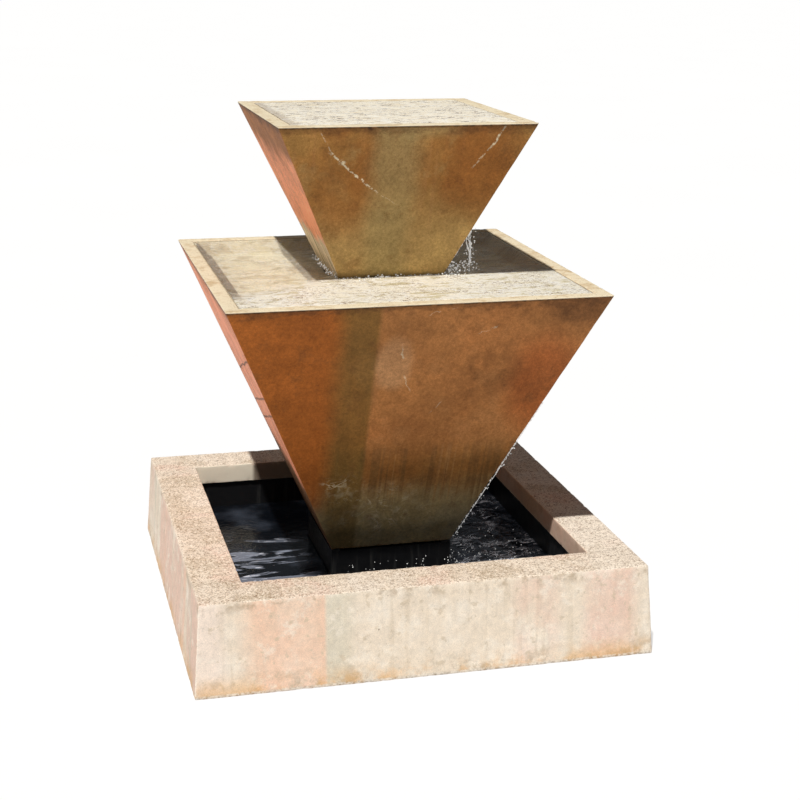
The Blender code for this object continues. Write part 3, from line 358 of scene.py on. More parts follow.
    def vein(
        self,
        u: Socket,
        v: Socket,
        start: Spot,
        end: Spot,
        width: float,
        wobble: Socket,
        swing: float,
    ) -> Socket:
        """Draws a thin irregular line between two points of a face.

        Args:
            u: Coordinate along the face.
            v: Height on the face.
            start: First end, as (u, v).
            end: Other end.
            width: Width of the line in metres.
            wobble: Noise that bends it.
            swing: How far the noise bends it, in metres.

        Returns:
            1 on the line and 0 away from it.
        """
        reach = Vector(end) - Vector(start)
        length = reach.length
        way = reach / length
        du = self.math("SUBTRACT", u, start[0])
        dv = self.math("SUBTRACT", v, start[1])
        run = self.math("ADD", self.product(du, way.x), self.product(dv, way.y))
        off = self.math("SUBTRACT", self.product(dv, way.x), self.product(du, way.y))
        bent = self.math("ADD", off, self.product(self.math("SUBTRACT", wobble, 0.5), swing))
        near = self.step(self.math("ABSOLUTE", bent), width, width * 0.25)
        return self.product(near, self.band(run, 0.0, length, length * 0.12))

    def faces(self) -> Faces:
        """Returns coordinates that run along each upright face, with masks for the faces.

        Returns:
            The sockets.
        """
        x, y, z = self.axes()
        side = self.math("GREATER_THAN", self.math("ABSOLUTE", x), self.math("ABSOLUTE", y))
        flat = self.inverse(side)
        along = self.math("ADD", self.product(flat, x), self.product(side, y))
        back = self.product(flat, self.math("GREATER_THAN", y, 0.0))
        left = self.product(side, self.math("LESS_THAN", x, 0.0))
        right = self.product(side, self.math("GREATER_THAN", x, 0.0))
        number = self.math("ADD", self.math("ADD", right, self.product(back, 2.0)), self.product(left, 3.0))
        spread = self.node("ShaderNodeCombineXYZ", {0: along, 1: self.product(number, 7.0), 2: z}).outputs[0]
        front = self.product(flat, self.math("LESS_THAN", y, 0.0))
        upward = self.axes(self.normal())[2]
        return Faces(x, y, z, along, spread, front, left, self.step(upward, 0.35, 0.75))

    def wear(self) -> Socket:
        """Returns how near a point is to a worn arris, from the piece's own attribute."""
        return self.node("ShaderNodeAttribute", {}, attribute_name="wear").outputs["Fac"]

    def bump(self, *heights: tuple[Value, float, float]) -> Socket:
        """Stacks bumps.

        Args:
            *heights: For each one a height from 0 to 1, its depth in metres and its strength.

        Returns:
            The bent normal.
        """
        normal: Socket | None = None
        for height, depth, strength in heights:
            inputs: dict[Any, Any] = {"Height": height, "Distance": depth, "Strength": strength}
            if normal:
                inputs["Normal"] = normal
            normal = self.node("ShaderNodeBump", inputs).outputs["Normal"]
        return normal

    def finish(
        self, colour: Any, rough: Any, normal: Socket | None = None, **constants: Any
    ) -> bpy.types.Material:
        """Sets the Principled shader's inputs.

        Args:
            colour: Base colour.
            rough: Roughness.
            normal: Bent normal, if any.
            **constants: Other inputs by name, with _ for each space.

        Returns:
            The material.
        """
        self.feed(self.shader.inputs["Base Color"], colour)
        self.feed(self.shader.inputs["Roughness"], rough)
        if normal:
            self.feed(self.shader.inputs["Normal"], normal)
        for name, value in constants.items():
            self.feed(self.shader.inputs[name.replace("_", " ")], value)
        return self.material


@dataclass(frozen=True)
class CastStone:
    """Cream cast stone of the basin, with peach bands, grime, pits and worn arrises, and painted light and
    painted shadow on the rear inner lip.
    """

    name: str = "basin_cast_stone"
    height: float = 0.247
    cream: Colour = tone(235, 219, 198)
    pale: Colour = tone(246, 235, 219)
    peach: Colour = tone(240, 200, 172)
    pink: Colour = tone(232, 194, 174)
    grey: Colour = tone(212, 204, 182)
    tan: Colour = tone(206, 187, 160)
    brown: Colour = tone(118, 86, 56)
    chalk: Colour = tone(247, 228, 214)
    grime: Colour = tone(172, 148, 118)
    rust: Colour = tone(226, 176, 112)
    dark: Colour = tone(70, 52, 38)
    # Painted light: the sunlit rear inner lip is painted this pale.
    painted_light: Colour = tone(255, 248, 226)
    # Painted shadow: the lower bowl's shadow on the rear inner lip.
    painted_shadow: Colour = tone(110, 92, 78)

    def front_bands(self, paint: Paint, face: Faces, base: Socket) -> Socket:
        """Lays the front's broad stains over a base and returns the colour.

        Args:
            paint: The material.
            face: The faces.
            base: Colour underneath.

        Returns:
            The colour.
        """
        waver = paint.noise(face.spread, (4.0, 1.0, 9.0), detail=4, shift=3.1)
        along = paint.math("ADD", face.along, paint.product(paint.math("SUBTRACT", waver, 0.5), 0.03))
        edge = paint.math("ADD", face.along, paint.product(paint.math("SUBTRACT", waver, 0.5), 0.006))
        strength = paint.noise(face.spread, (9.0, 1.0, 7.0), detail=5, roughness=0.62, shift=8.8)
        soft = paint.step(strength, 0.3, 0.66)
        peach = paint.product(face.front, paint.step(along, -0.52, -0.43), paint.step(edge, -0.268, -0.28))
        grey = paint.product(face.front, paint.step(edge, -0.28, -0.268), paint.step(along, -0.18, -0.235))
        chalk = paint.product(face.front, paint.step(along, -0.5, -0.56))
        middle = paint.product(face.front, paint.band(along, 0.23, 0.34, 0.03))
        right = paint.product(face.front, paint.band(along, 0.42, 0.555, 0.03))
        return paint.layers(
            base,
            (paint.product(chalk, 0.6), self.chalk),
            (paint.product(peach, paint.math("ADD", paint.product(soft, 0.4), 0.5)), self.peach),
            (paint.product(grey, 0.6), self.grey),
            (paint.product(middle, soft, 0.55), self.pink),
            (paint.product(right, paint.math("ADD", paint.product(soft, 0.4), 0.4)), self.pink),
        )

    def other_bands(self, paint: Paint, face: Faces, base: Socket) -> Socket:
        """Lays the other faces' stains over a base and returns the colour.

        Args:
            paint: The material.
            face: The faces.
            base: Colour underneath.

        Returns:
            The colour.
        """
        others = paint.inverse(face.front)
        broad = paint.noise(face.spread, (3.2, 1.0, 0.5), detail=3, shift=21.4)
        narrow = paint.noise(face.spread, (9.0, 1.0, 0.8), detail=3, shift=5.6)
        return paint.layers(
            base,
            (paint.product(others, paint.step(broad, 0.45, 0.58), 0.75), self.pink),
            (paint.product(others, paint.step(narrow, 0.55, 0.66), 0.6), self.peach),
            (paint.product(others, paint.step(narrow, 0.42, 0.34), 0.5), self.grey),
        )

    def top_stain(self, paint: Paint) -> Socket:
        """Returns the colour of the flat rim: a granular tan with pinkish and grey patches, and paler towards
        the front of the right rim.

        Args:
            paint: The material.

        Returns:
            The colour.
        """
        patch = paint.noise(paint.place, 5.0, detail=4, shift=1.7)
        warm = paint.noise(paint.place, 9.0, detail=5, shift=14.2)
        grain = paint.noise(paint.place, 230.0, detail=3, roughness=0.75, shift=2.2)
        speck = paint.noise(paint.place, 110.0, detail=4, roughness=0.8, shift=7.9)
        base = paint.layers(
            self.cream,
            (paint.product(paint.step(warm, 0.42, 0.62), 0.8), self.tan),
            (paint.product(paint.step(patch, 0.52, 0.66), 0.55), self.pink),
            (paint.product(paint.step(patch, 0.44, 0.36), 0.5), self.pale),
        )
        split = paint.axes()
        # The right rim is painted paler towards its front, from y = 0 to y = -0.2 m.
        paler_right_front = paint.product(paint.step(split[0], 0.42, 0.5), paint.step(split[1], 0.0, -0.2), 0.6)
        return paint.layers(
            base,
            (paler_right_front, self.pale),
            (paint.product(paint.step(speck, 0.54, 0.62), 0.55), self.brown),
            (paint.product(paint.step(speck, 0.46, 0.38), 0.6), self.pale),
            (paint.product(paint.step(grain, 0.54, 0.61), 0.75), self.brown),
            (paint.product(paint.step(grain, 0.47, 0.39), 0.95), self.pale),
        )

    def material(self) -> bpy.types.Material:
        """Builds and returns the material.

        Returns:
            The material.
        """
        paint = Paint(self.name)
        face = paint.faces()
        cloud = paint.noise(face.spread, 7.0, detail=5, roughness=0.6)
        streak = paint.noise(face.spread, (42.0, 1.0, 2.2), detail=4, roughness=0.6, shift=4.4)
        blotch = paint.noise(face.spread, 26.0, detail=5, roughness=0.65, shift=9.3)
        base = paint.layers(
            self.cream,
            (paint.step(cloud, 0.45, 0.7), self.pale),
            (paint.product(paint.step(streak, 0.5, 0.68), 0.35), self.tan),
        )
        base = self.other_bands(paint, face, self.front_bands(paint, face, base))
        low = paint.step(face.z, self.height * 0.32, 0.0)
        high = paint.step(face.z, self.height * 0.84, self.height * 0.97)
        pit_cells = paint.cells(face.spread, (75.0, 1.0, 75.0), shift=3.3)
        pit_zone = paint.noise(face.spread, 11.0, detail=3, shift=31.0)
        crowded = paint.math("ADD", paint.step(pit_zone, 0.5, 0.62), paint.product(low, 0.6), clamp=True)
        pit_size = paint.noise(face.spread, 33.0, detail=3, shift=13.0)
        pit_size = paint.product(paint.step(pit_size, 0.5, 0.75), 0.22)
        pits = paint.product(paint.step(paint.math("SUBTRACT", pit_cells, pit_size), 0.08, -0.08), crowded)
        smudge_zone = paint.math("ADD", paint.product(low, 0.6), paint.product(high, 0.6))
        smudge = paint.product(paint.step(blotch, 0.5, 0.64), smudge_zone)
        spots = paint.product(paint.patches(face.spread, 48.0, 0.6, 0.7, detail=3, shift=12.5), 0.6)
        flake = paint.noise(face.spread, 19.0, detail=5, roughness=0.7, shift=71.0)
        flake = paint.product(paint.step(flake, 0.52, 0.66), 0.55)
        rusty = paint.noise(face.spread, 8.0, detail=5, roughness=0.65, shift=15.0)
        rusty = paint.product(paint.step(face.z, 0.07, 0.0), paint.step(rusty, 0.42, 0.56))
        side = paint.layers(
            base,
            (flake, self.pale),
            (smudge, self.grime),
            (spots, self.tan),
            (paint.product(rusty, 0.65), self.rust),
            (paint.product(pits, 0.8), self.brown),
            (paint.product(paint.step(face.z, 0.012, 0.0), 0.55), self.dark),
        )
        colour = paint.mix(face.top, side, self.top_stain(paint))
        wear = paint.wear()
        chip = paint.noise(paint.place, 120.0, detail=3, shift=6.1)
        worn = paint.product(paint.step(wear, 0.5, 0.95), paint.step(chip, 0.35, 0.6))
        upright = paint.step(face.z, self.height * 0.99, self.height * 0.93)
        share = paint.math("ADD", paint.product(upright, 0.6), 0.15)
        colour = paint.layers(colour, (paint.product(worn, share), self.pale))
        fine = paint.noise(paint.place, 420.0, detail=3, roughness=0.7)
        colour = paint.toned(colour, fine, 0.88, 1.1)
        colour = paint.toned(
            colour, paint.noise(face.spread, 55.0, detail=5, roughness=0.7, shift=6.6), 0.92, 1.06
        )
        inside = paint.math("MAXIMUM", paint.math("ABSOLUTE", face.x), paint.math("ABSOLUTE", face.y))
        lip = paint.product(paint.step(inside, 0.47, 0.466), paint.step(face.z, 0.17, 0.19))
        rear = paint.step(face.y, 0.42, 0.44)
        # The rear inner lip is painted pale as if sunlit, with a painted shadow from x = -0.28 m rightwards
        # where the lower bowl's shadow falls; the other inner faces get peach.
        colour = paint.layers(
            colour,
            (paint.product(lip, rear, 0.9), self.painted_light),
            (paint.product(lip, rear, paint.step(face.x, -0.295, -0.28), 0.9), self.painted_shadow),
            (paint.product(lip, paint.inverse(rear), 0.5), self.peach),
        )
        normal = paint.bump(
            (paint.noise(paint.place, 22.0, detail=4), 0.003, 0.35),
            (fine, 0.0007, 0.55),
            (paint.inverse(pits), 0.0016, 0.8),
        )
        return paint.finish(colour, paint.ranged(cloud, 0.74, 0.95), normal, Specular_IOR_Level=0.35)


@dataclass(frozen=True)
class StainedStone:
    """Rust, olive and lime stained stone of a bowl, with a cream rim, wet sheen, a painted shadow line under
    the rim and, on the lower bowl, painted shade low on the left face.
    """

    name: str
    foot: float
    top: float
    copper: Colour = tone(168, 104, 48)
    orange: Colour = tone(168, 95, 38)
    tan: Colour = tone(174, 120, 72)
    rust: Colour = tone(158, 84, 38)
    gold: Colour = tone(164, 128, 74)
    bleach: Colour = tone(196, 150, 106)
    olive: Colour = tone(118, 92, 46)
    moss: Colour = tone(184, 166, 122)
    brown: Colour = tone(112, 72, 38)
    umber: Colour = tone(96, 62, 36)
    dark: Colour = tone(182, 168, 136)
    # Dark brown: painted shadow in the line under the rim, and the colour of a small dark spot on the upper
    # bowl's front.
    soot_and_shadow: Colour = tone(58, 42, 28)
    salmon: Colour = tone(255, 168, 130)
    # Lower band of the left face: painted shade on the lower bowl; the upper bowl sets a pale lime colour
    # instead.
    left_foot_shade_and_lime: Colour = tone(96, 70, 48)
    crack_ends: tuple[tuple[Spot, Spot], ...] = ()
    brown_left: float = 0.97
    lime: Colour = tone(226, 212, 180)
    cream: Colour = tone(234, 220, 190)
    rim_stain: Colour = tone(196, 166, 122)

    @property
    def rise(self) -> float:
        """Height of the bowl."""
        return self.top - self.foot

    def height(self, share: float) -> float:
        """Height at a share of the way up the bowl."""
        return self.foot + self.rise * share

    def rim(self, paint: Paint) -> Socket:
        """Returns the colour of the rim's flat top.

        Args:
            paint: The material.

        Returns:
            The colour.
        """
        patch = paint.noise(paint.place, 13.0, detail=5, roughness=0.65, shift=17.0)
        fine = paint.noise(paint.place, 160.0, detail=3, roughness=0.7, shift=3.0)
        fleck = paint.noise(paint.place, (44.0, 70.0, 1.0), detail=5, roughness=0.78, shift=6.0, warp=0.5)
        return paint.layers(
            self.cream,
            (paint.product(paint.step(patch, 0.48, 0.66), 0.7), self.rim_stain),
            (paint.product(paint.step(fleck, 0.54, 0.62), 0.6), self.rim_stain),
            (paint.product(paint.step(fine, 0.58, 0.7), 0.55), self.brown),
        )

    def left_face(self, paint: Paint, face: Faces, grain: Socket) -> Socket:
        """Returns the colour of the left face: salmon, with brown above and a band below: painted shade on
        the lower bowl, pale lime on the upper.

        Args:
            paint: The material.
            face: The faces.
            grain: Broad noise that stirs the edges.

        Returns:
            The colour.
        """
        drift = paint.product(paint.math("SUBTRACT", grain, 0.5), self.rise * 0.25)
        level = paint.math("ADD", face.z, drift)
        lower = paint.step(level, self.height(0.34), self.height(0.24))
        upper = paint.step(level, self.height(self.brown_left - 0.08), self.height(self.brown_left + 0.08))
        streak = paint.noise(face.spread, (70.0, 1.0, 3.0), detail=4, shift=2.5)
        return paint.layers(
            self.salmon,
            (paint.product(paint.step(streak, 0.5, 0.66), 0.35), self.tan),
            *self.left_cracks(paint, face, grain),
            # Lower band: painted shade on the lower bowl, a pale lime band on the upper bowl.
            (paint.product(lower, 0.85), self.left_foot_shade_and_lime),
            (paint.product(lower, paint.step(streak, 0.46, 0.6), 0.8), self.olive),
            (paint.product(upper, 0.9), self.copper),
        )

    def left_cracks(self, paint: Paint, face: Faces, wobble: Socket) -> list[tuple[Value, Any]]:
        """Returns the layers of the left face's short dark cracks.

        Args:
            paint: The material.
            face: The faces.
            wobble: Noise that bends the lines.

        Returns:
            The layers, each a share and a colour.
        """
        cracks = []
        for start, end in self.crack_ends:
            line = paint.vein(face.along, face.z, start, end, 0.0045, wobble, 0.02)
            cracks.append((paint.product(line, 0.8), self.umber))
        return cracks

    def ground(self, paint: Paint, face: Faces, grain: Socket) -> Socket:
        """Returns the general stain of an upright face. Subclasses say which."""
        raise NotImplementedError

    def front_marks(self, paint: Paint, face: Faces, colour: Socket) -> tuple[Socket, Socket]:
        """Returns the colour with the front's own marks, and how much lime lies there."""
        raise NotImplementedError

    def material(self) -> bpy.types.Material:
        """Builds and returns the material.

        Returns:
            The material.
        """
        paint = Paint(self.name)
        face = paint.faces()
        grain = paint.noise(face.spread, 9.0, detail=5, roughness=0.62, shift=5.2)
        colour = self.ground(paint, face, grain)
        colour, lime = self.front_marks(paint, face, colour)
        colour = paint.mix(face.left, colour, self.left_face(paint, face, grain))
        edge = paint.noise(face.spread, (16.0, 1.0, 40.0), detail=6, roughness=0.7, shift=1.1)
        ragged = paint.math("ADD", face.z, paint.product(paint.math("SUBTRACT", edge, 0.5), 0.09))
        drip_edge = paint.product(paint.step(ragged, self.top - 0.03, self.top - 0.006), 0.6)
        # Painted shadow: a dark line just under the rim's cream lip.
        shadow_line = paint.product(paint.step(face.z, self.top - 0.0085, self.top - 0.006), 0.75)
        colour = paint.layers(colour, (drip_edge, self.umber), (shadow_line, self.soot_and_shadow))
        mottle = paint.noise(face.spread, 150.0, detail=4, roughness=0.75, shift=8.0)
        fine = paint.noise(face.spread, 520.0, detail=2, roughness=0.7, shift=4.0)
        stain = paint.noise(face.spread, 17.0, detail=7, roughness=0.72, shift=81.0)
        cloud = paint.noise(face.spread, 34.0, detail=6, roughness=0.7, shift=91.0)
        colour = paint.layers(colour, (paint.product(paint.step(stain, 0.53, 0.68), 0.4), self.brown))
        tide = paint.noise(face.spread, (5.0, 1.0, 7.0), detail=4, shift=36.0)
        colour = paint.toned(colour, tide, 0.84, 1.14)
        colour = paint.toned(colour, cloud, 0.88, 1.12)
        colour = paint.toned(colour, mottle, 0.82, 1.18)
        colour = paint.toned(colour, fine, 0.88, 1.12)
        wear = paint.wear()
        chip = paint.noise(paint.place, 90.0, detail=4, shift=16.0)
        worn = paint.product(paint.step(wear, 0.6, 0.97), paint.step(chip, 0.42, 0.62))
        colour = paint.layers(colour, (paint.product(worn, 0.45), self.tan))
        lip = paint.step(face.z, self.top - 0.0045, self.top - 0.0015)
        colour = paint.mix(lip, colour, self.cream)
        colour = paint.mix(face.top, colour, self.rim(paint))
        normal = paint.bump(
            (paint.noise(paint.place, 14.0, detail=4), 0.004, 0.3),
            (mottle, 0.0007, 0.45),
            (fine, 0.0003, 0.6),
            (lime, 0.0008, 0.4),
        )
        return paint.finish(colour, paint.ranged(grain, 0.5, 0.75), normal, Specular_IOR_Level=0.12)


@dataclass(frozen=True)
class LowerBowlStone(StainedStone):
    """The lower bowl's stains: an olive stripe, copper fields, drips and a mossy foot."""

    crack_ends: tuple[tuple[Spot, Spot], ...] = (
        ((-0.47, 0.825), (0.34, 0.595)),
        ((-0.43, 0.715), (0.30, 0.505)),
        ((-0.405, 0.66), (0.28, 0.455)),
    )

    def ground(self, paint: Paint, face: Faces, grain: Socket) -> Socket:
        """Returns copper and orange fields with drips above a mossy foot.

        Args:
            paint: The material.
            face: The faces.
            grain: Broad noise that stirs the edges.

        Returns:
            The colour.
        """
        broad = paint.noise(face.spread, (2.6, 1.0, 2.0), detail=3, shift=11.0)
        streak = paint.noise(face.spread, (70.0, 1.0, 1.1), detail=3, roughness=0.5, shift=6.0)
        fine_streak = paint.noise(face.spread, (95.0, 1.0, 1.6), detail=3, shift=2.0)
        reach = paint.noise(face.spread, (30.0, 1.0, 0.2), detail=3, shift=17.0)
        drift = paint.product(paint.math("SUBTRACT", grain, 0.5), 0.14)
        level = paint.math("ADD", face.z, drift)
        hung = paint.math("ADD", face.z, paint.product(paint.math("SUBTRACT", reach, 0.5), 0.16))
        wet_zone = paint.product(
            paint.step(face.z, self.height(0.455), self.height(0.42)),
            paint.step(hung, self.height(0.14), self.height(0.3)),
        )
        foot_zone = paint.step(level, self.height(0.3), self.height(0.1))
        return paint.layers(
            self.copper,
            (paint.step(broad, 0.42, 0.6), self.orange),
            (paint.product(paint.step(grain, 0.5, 0.66), 0.5), self.tan),
            (paint.product(paint.step(level, self.height(0.48), self.height(0.3)), 0.6), self.brown),
            (paint.product(paint.step(level, self.height(0.34), self.height(0.16)), 0.85), self.moss),
            (paint.product(foot_zone, paint.step(grain, 0.42, 0.58), 0.6), self.dark),
            (paint.product(wet_zone, paint.step(streak, 0.49, 0.57), 0.62), self.umber),
            (paint.product(wet_zone, paint.step(fine_streak, 0.56, 0.64), 0.7), self.tan),
        )

    def front_marks(self, paint: Paint, face: Faces, colour: Socket) -> tuple[Socket, Socket]:
        """Returns the colour with the front's stripe, patches and veins, and its lime.

        Args:
            paint: The material.
            face: The faces.
            colour: Colour so far.

        Returns:
            The colour, and how much lime lies there.
        """
        waver = paint.noise(face.spread, (3.0, 1.0, 7.0), detail=4, shift=41.0)
        bend = paint.product(paint.math("SUBTRACT", waver, 0.5), 0.06)
        u = paint.math("ADD", face.along, bend)
        v = paint.math("ADD", face.z, paint.product(bend, 0.8))
        upper = paint.step(face.z, 0.42, 0.55)
        left_field = paint.product(face.front, paint.step(u, -0.19, -0.235))
        stripe = paint.product(
            face.front, paint.step(u, -0.245, -0.175), paint.step(face.along, -0.1, -0.118)
        )
        right_field = paint.product(face.front, upper, paint.step(face.along, -0.116, -0.108))
        sunk = paint.product(
            face.front, paint.step(u, -0.24, -0.15), paint.step(v, self.height(0.5), self.height(0.36)),
            paint.step(v, self.height(0.08), self.height(0.2)),
        )
        rust = paint.product(face.front, paint.blob(u, v, (0.345, 0.7), (0.1, 0.14), 0.45))
        patch = paint.product(face.front, paint.blob(u, v, (0.18, 0.755), (0.085, 0.075), 0.5))
        corner = paint.product(face.front, paint.blob(u, v, (0.43, 0.925), (0.09, 0.04), 0.5))
        pale = paint.product(face.front, paint.blob(u, v, (-0.06, 0.785), (0.05, 0.075), 0.3))
        low_edge = paint.product(face.front, paint.step(u, -0.17, -0.23), paint.step(face.z, 0.30, 0.36))
        mask = paint.noise(face.spread, 30.0, detail=4, shift=19.0)
        colour = paint.layers(
            colour,
            (paint.product(left_field, upper, 0.85), self.orange),
            (paint.product(low_edge, 0.75), self.orange),
            (paint.product(right_field, 0.6), self.tan),
            (paint.product(rust, 0.75), self.rust),
            (paint.product(patch, paint.step(mask, 0.25, 0.7), 0.6), self.brown),
            (paint.product(corner, 0.6), self.umber),
            (paint.product(pale, 0.5), self.bleach),
            (paint.product(stripe, 0.72), self.olive),
            (paint.product(sunk, 0.35), self.olive),
        )
        wobble = paint.noise(face.spread, 26.0, detail=4, roughness=0.7, shift=27.0)
        thread = paint.noise(face.spread, (13.0, 1.0, 17.0), detail=6, roughness=0.6, shift=9.0, warp=0.5)
        web_zone = paint.math(
            "MAXIMUM",
            paint.blob(u, v, (-0.165, 0.4), (0.05, 0.04), 0.6),
            paint.blob(u, v, (-0.03, 0.31), (0.12, 0.075), 0.6),
        )
        web_line = paint.product(paint.ridge(thread, 0.012), web_zone, paint.step(mask, 0.4, 0.6))
        cloud = paint.product(web_zone, paint.patches(face.spread, 42.0, 0.5, 0.7, detail=5, shift=51.0))
        veins = (
            paint.vein(u, v, (-0.04, 0.84), (-0.018, 0.7), 0.0022, wobble, 0.03),
            paint.vein(u, v, (-0.215, 0.425), (-0.125, 0.395), 0.002, wobble, 0.03),
            paint.vein(u, v, (-0.205, 0.4), (-0.15, 0.43), 0.002, wobble, 0.03),
            paint.vein(u, v, (-0.09, 0.36), (0.01, 0.27), 0.0018, wobble, 0.04),
            paint.vein(u, v, (0.15, 0.865), (0.2, 0.885), 0.0014, wobble, 0.03),
            paint.vein(u, v, (0.05, 0.63), (0.075, 0.66), 0.0016, wobble, 0.02),
            paint.vein(u, v, (0.02, 0.93), (0.09, 0.945), 0.0014, wobble, 0.03),
        )
        total = paint.math("ADD", paint.product(web_line, 0.55), paint.product(cloud, 0.24))
        for vein in veins:
            total = paint.math("ADD", total, paint.product(vein, paint.step(mask, 0.38, 0.6), 0.5))
        speck = paint.patches(face.spread, 210.0, 0.68, 0.76, detail=2, shift=33.0)
        low = paint.step(face.z, 0.5, 0.3)
        total = paint.math("ADD", total, paint.product(speck, low, 0.5))
        lime = paint.product(face.front, total)
        return paint.layers(colour, (paint.math("MINIMUM", lime, 0.85), self.lime)), lime


@dataclass(frozen=True)
class UpperBowlStone(StainedStone):
    """The upper bowl's stains: golden brown with a soft olive middle and two pale veins."""

    copper: Colour = tone(155, 100, 48)
    rust: Colour = tone(148, 92, 41)
    gold: Colour = tone(164, 121, 65)
    straw: Colour = tone(196, 166, 108)
    olive: Colour = tone(168, 148, 98)
    salmon: Colour = tone(255, 166, 120)
    # Pale lime band low on the upper bowl's left face.
    left_foot_shade_and_lime: Colour = tone(232, 222, 192)
    brown_left: float = 0.78

    def ground(self, paint: Paint, face: Faces, grain: Socket) -> Socket:
        """Returns golden and copper clouds with a soft grain.

        Args:
            paint: The material.
            face: The faces.
            grain: Broad noise that stirs the edges.

        Returns:
            The colour.
        """
        broad = paint.noise(face.spread, (4.0, 1.0, 3.0), detail=4, shift=3.0)
        streak = paint.noise(face.spread, (60.0, 1.0, 3.0), detail=4, shift=7.0)
        low = paint.step(face.z, self.height(0.72), self.height(0.15))
        return paint.layers(
            self.copper,
            (paint.step(broad, 0.4, 0.62), self.gold),
            (paint.product(paint.step(streak, 0.52, 0.68), 0.3), self.tan),
            (paint.product(paint.step(grain, 0.56, 0.7), 0.35), self.olive),
            (paint.product(low, 0.75), self.straw),
        )

    def front_marks(self, paint: Paint, face: Faces, colour: Socket) -> tuple[Socket, Socket]:
        """Returns the colour with the front's olive middle and veins, and its lime.

        Args:
            paint: The material.
            face: The faces.
            colour: Colour so far.

        Returns:
            The colour, and how much lime lies there.
        """
        waver = paint.noise(face.spread, (5.0, 1.0, 6.0), detail=4, shift=44.0)
        bend = paint.product(paint.math("SUBTRACT", waver, 0.5), 0.07)
        u = paint.math("ADD", face.along, bend)
        v = paint.math("ADD", face.z, paint.product(bend, 0.7))
        middle = paint.product(face.front, paint.band(u, -0.085, 0.03, 0.035))
        under_rim = paint.product(
            face.front, paint.step(face.z, 1.33, 1.37), paint.band(u, -0.08, 0.12, 0.05)
        )
        left = paint.product(face.front, paint.blob(u, v, (-0.17, 1.19), (0.1, 0.1), 0.5))
        right = paint.product(face.front, paint.blob(u, v, (0.2, 1.25), (0.1, 0.12), 0.5))
        spot = paint.product(
            face.front, paint.blob(face.along, face.z, (-0.1025, 1.3705), (0.008, 0.007), 0.5)
        )
        colour = paint.layers(
            colour,
            (paint.product(left, 0.6), self.rust),
            (paint.product(right, 0.75), self.rust),
            (paint.product(middle, 0.62), self.olive),
            (paint.product(under_rim, 0.55), self.olive),
            (spot, self.soot_and_shadow),
        )
        wobble = paint.noise(face.spread, 34.0, detail=4, roughness=0.7, shift=23.0)
        veins = (
            paint.vein(face.along, face.z, (-0.235, 1.372), (-0.19, 1.295), 0.002, wobble, 0.012),
            paint.vein(face.along, face.z, (-0.195, 1.3), (-0.075, 1.2), 0.0042, wobble, 0.02),
            paint.vein(face.along, face.z, (-0.08, 1.205), (-0.01, 1.16), 0.0014, wobble, 0.016),
            paint.vein(face.along, face.z, (0.247, 1.37), (0.222, 1.318), 0.0036, wobble, 0.014),
            paint.vein(face.along, face.z, (0.223, 1.32), (0.178, 1.262), 0.003, wobble, 0.016),
            paint.blob(face.along, face.z, (-0.168, 1.281), (0.008, 0.006), 0.6),
        )
        weights = (0.5, 0.95, 0.35, 0.95, 0.5, 0.8)
        total: Value = 0.0
        for vein, weight in zip(veins, weights, strict=True):
            total = paint.math("ADD", total, paint.product(vein, weight))
        knots = paint.patches(face.spread, 120.0, 0.38, 0.54, detail=3, shift=61.0)
        speck = paint.patches(face.spread, 230.0, 0.69, 0.76, detail=2, shift=37.0)
        low = paint.step(face.z, self.height(0.35), self.height(0.05))
        total = paint.math("ADD", paint.product(total, knots), paint.product(speck, low, 0.5))
        lime = paint.product(face.front, total)
        return paint.layers(colour, (paint.math("MINIMUM", lime, 0.85), self.lime)), lime


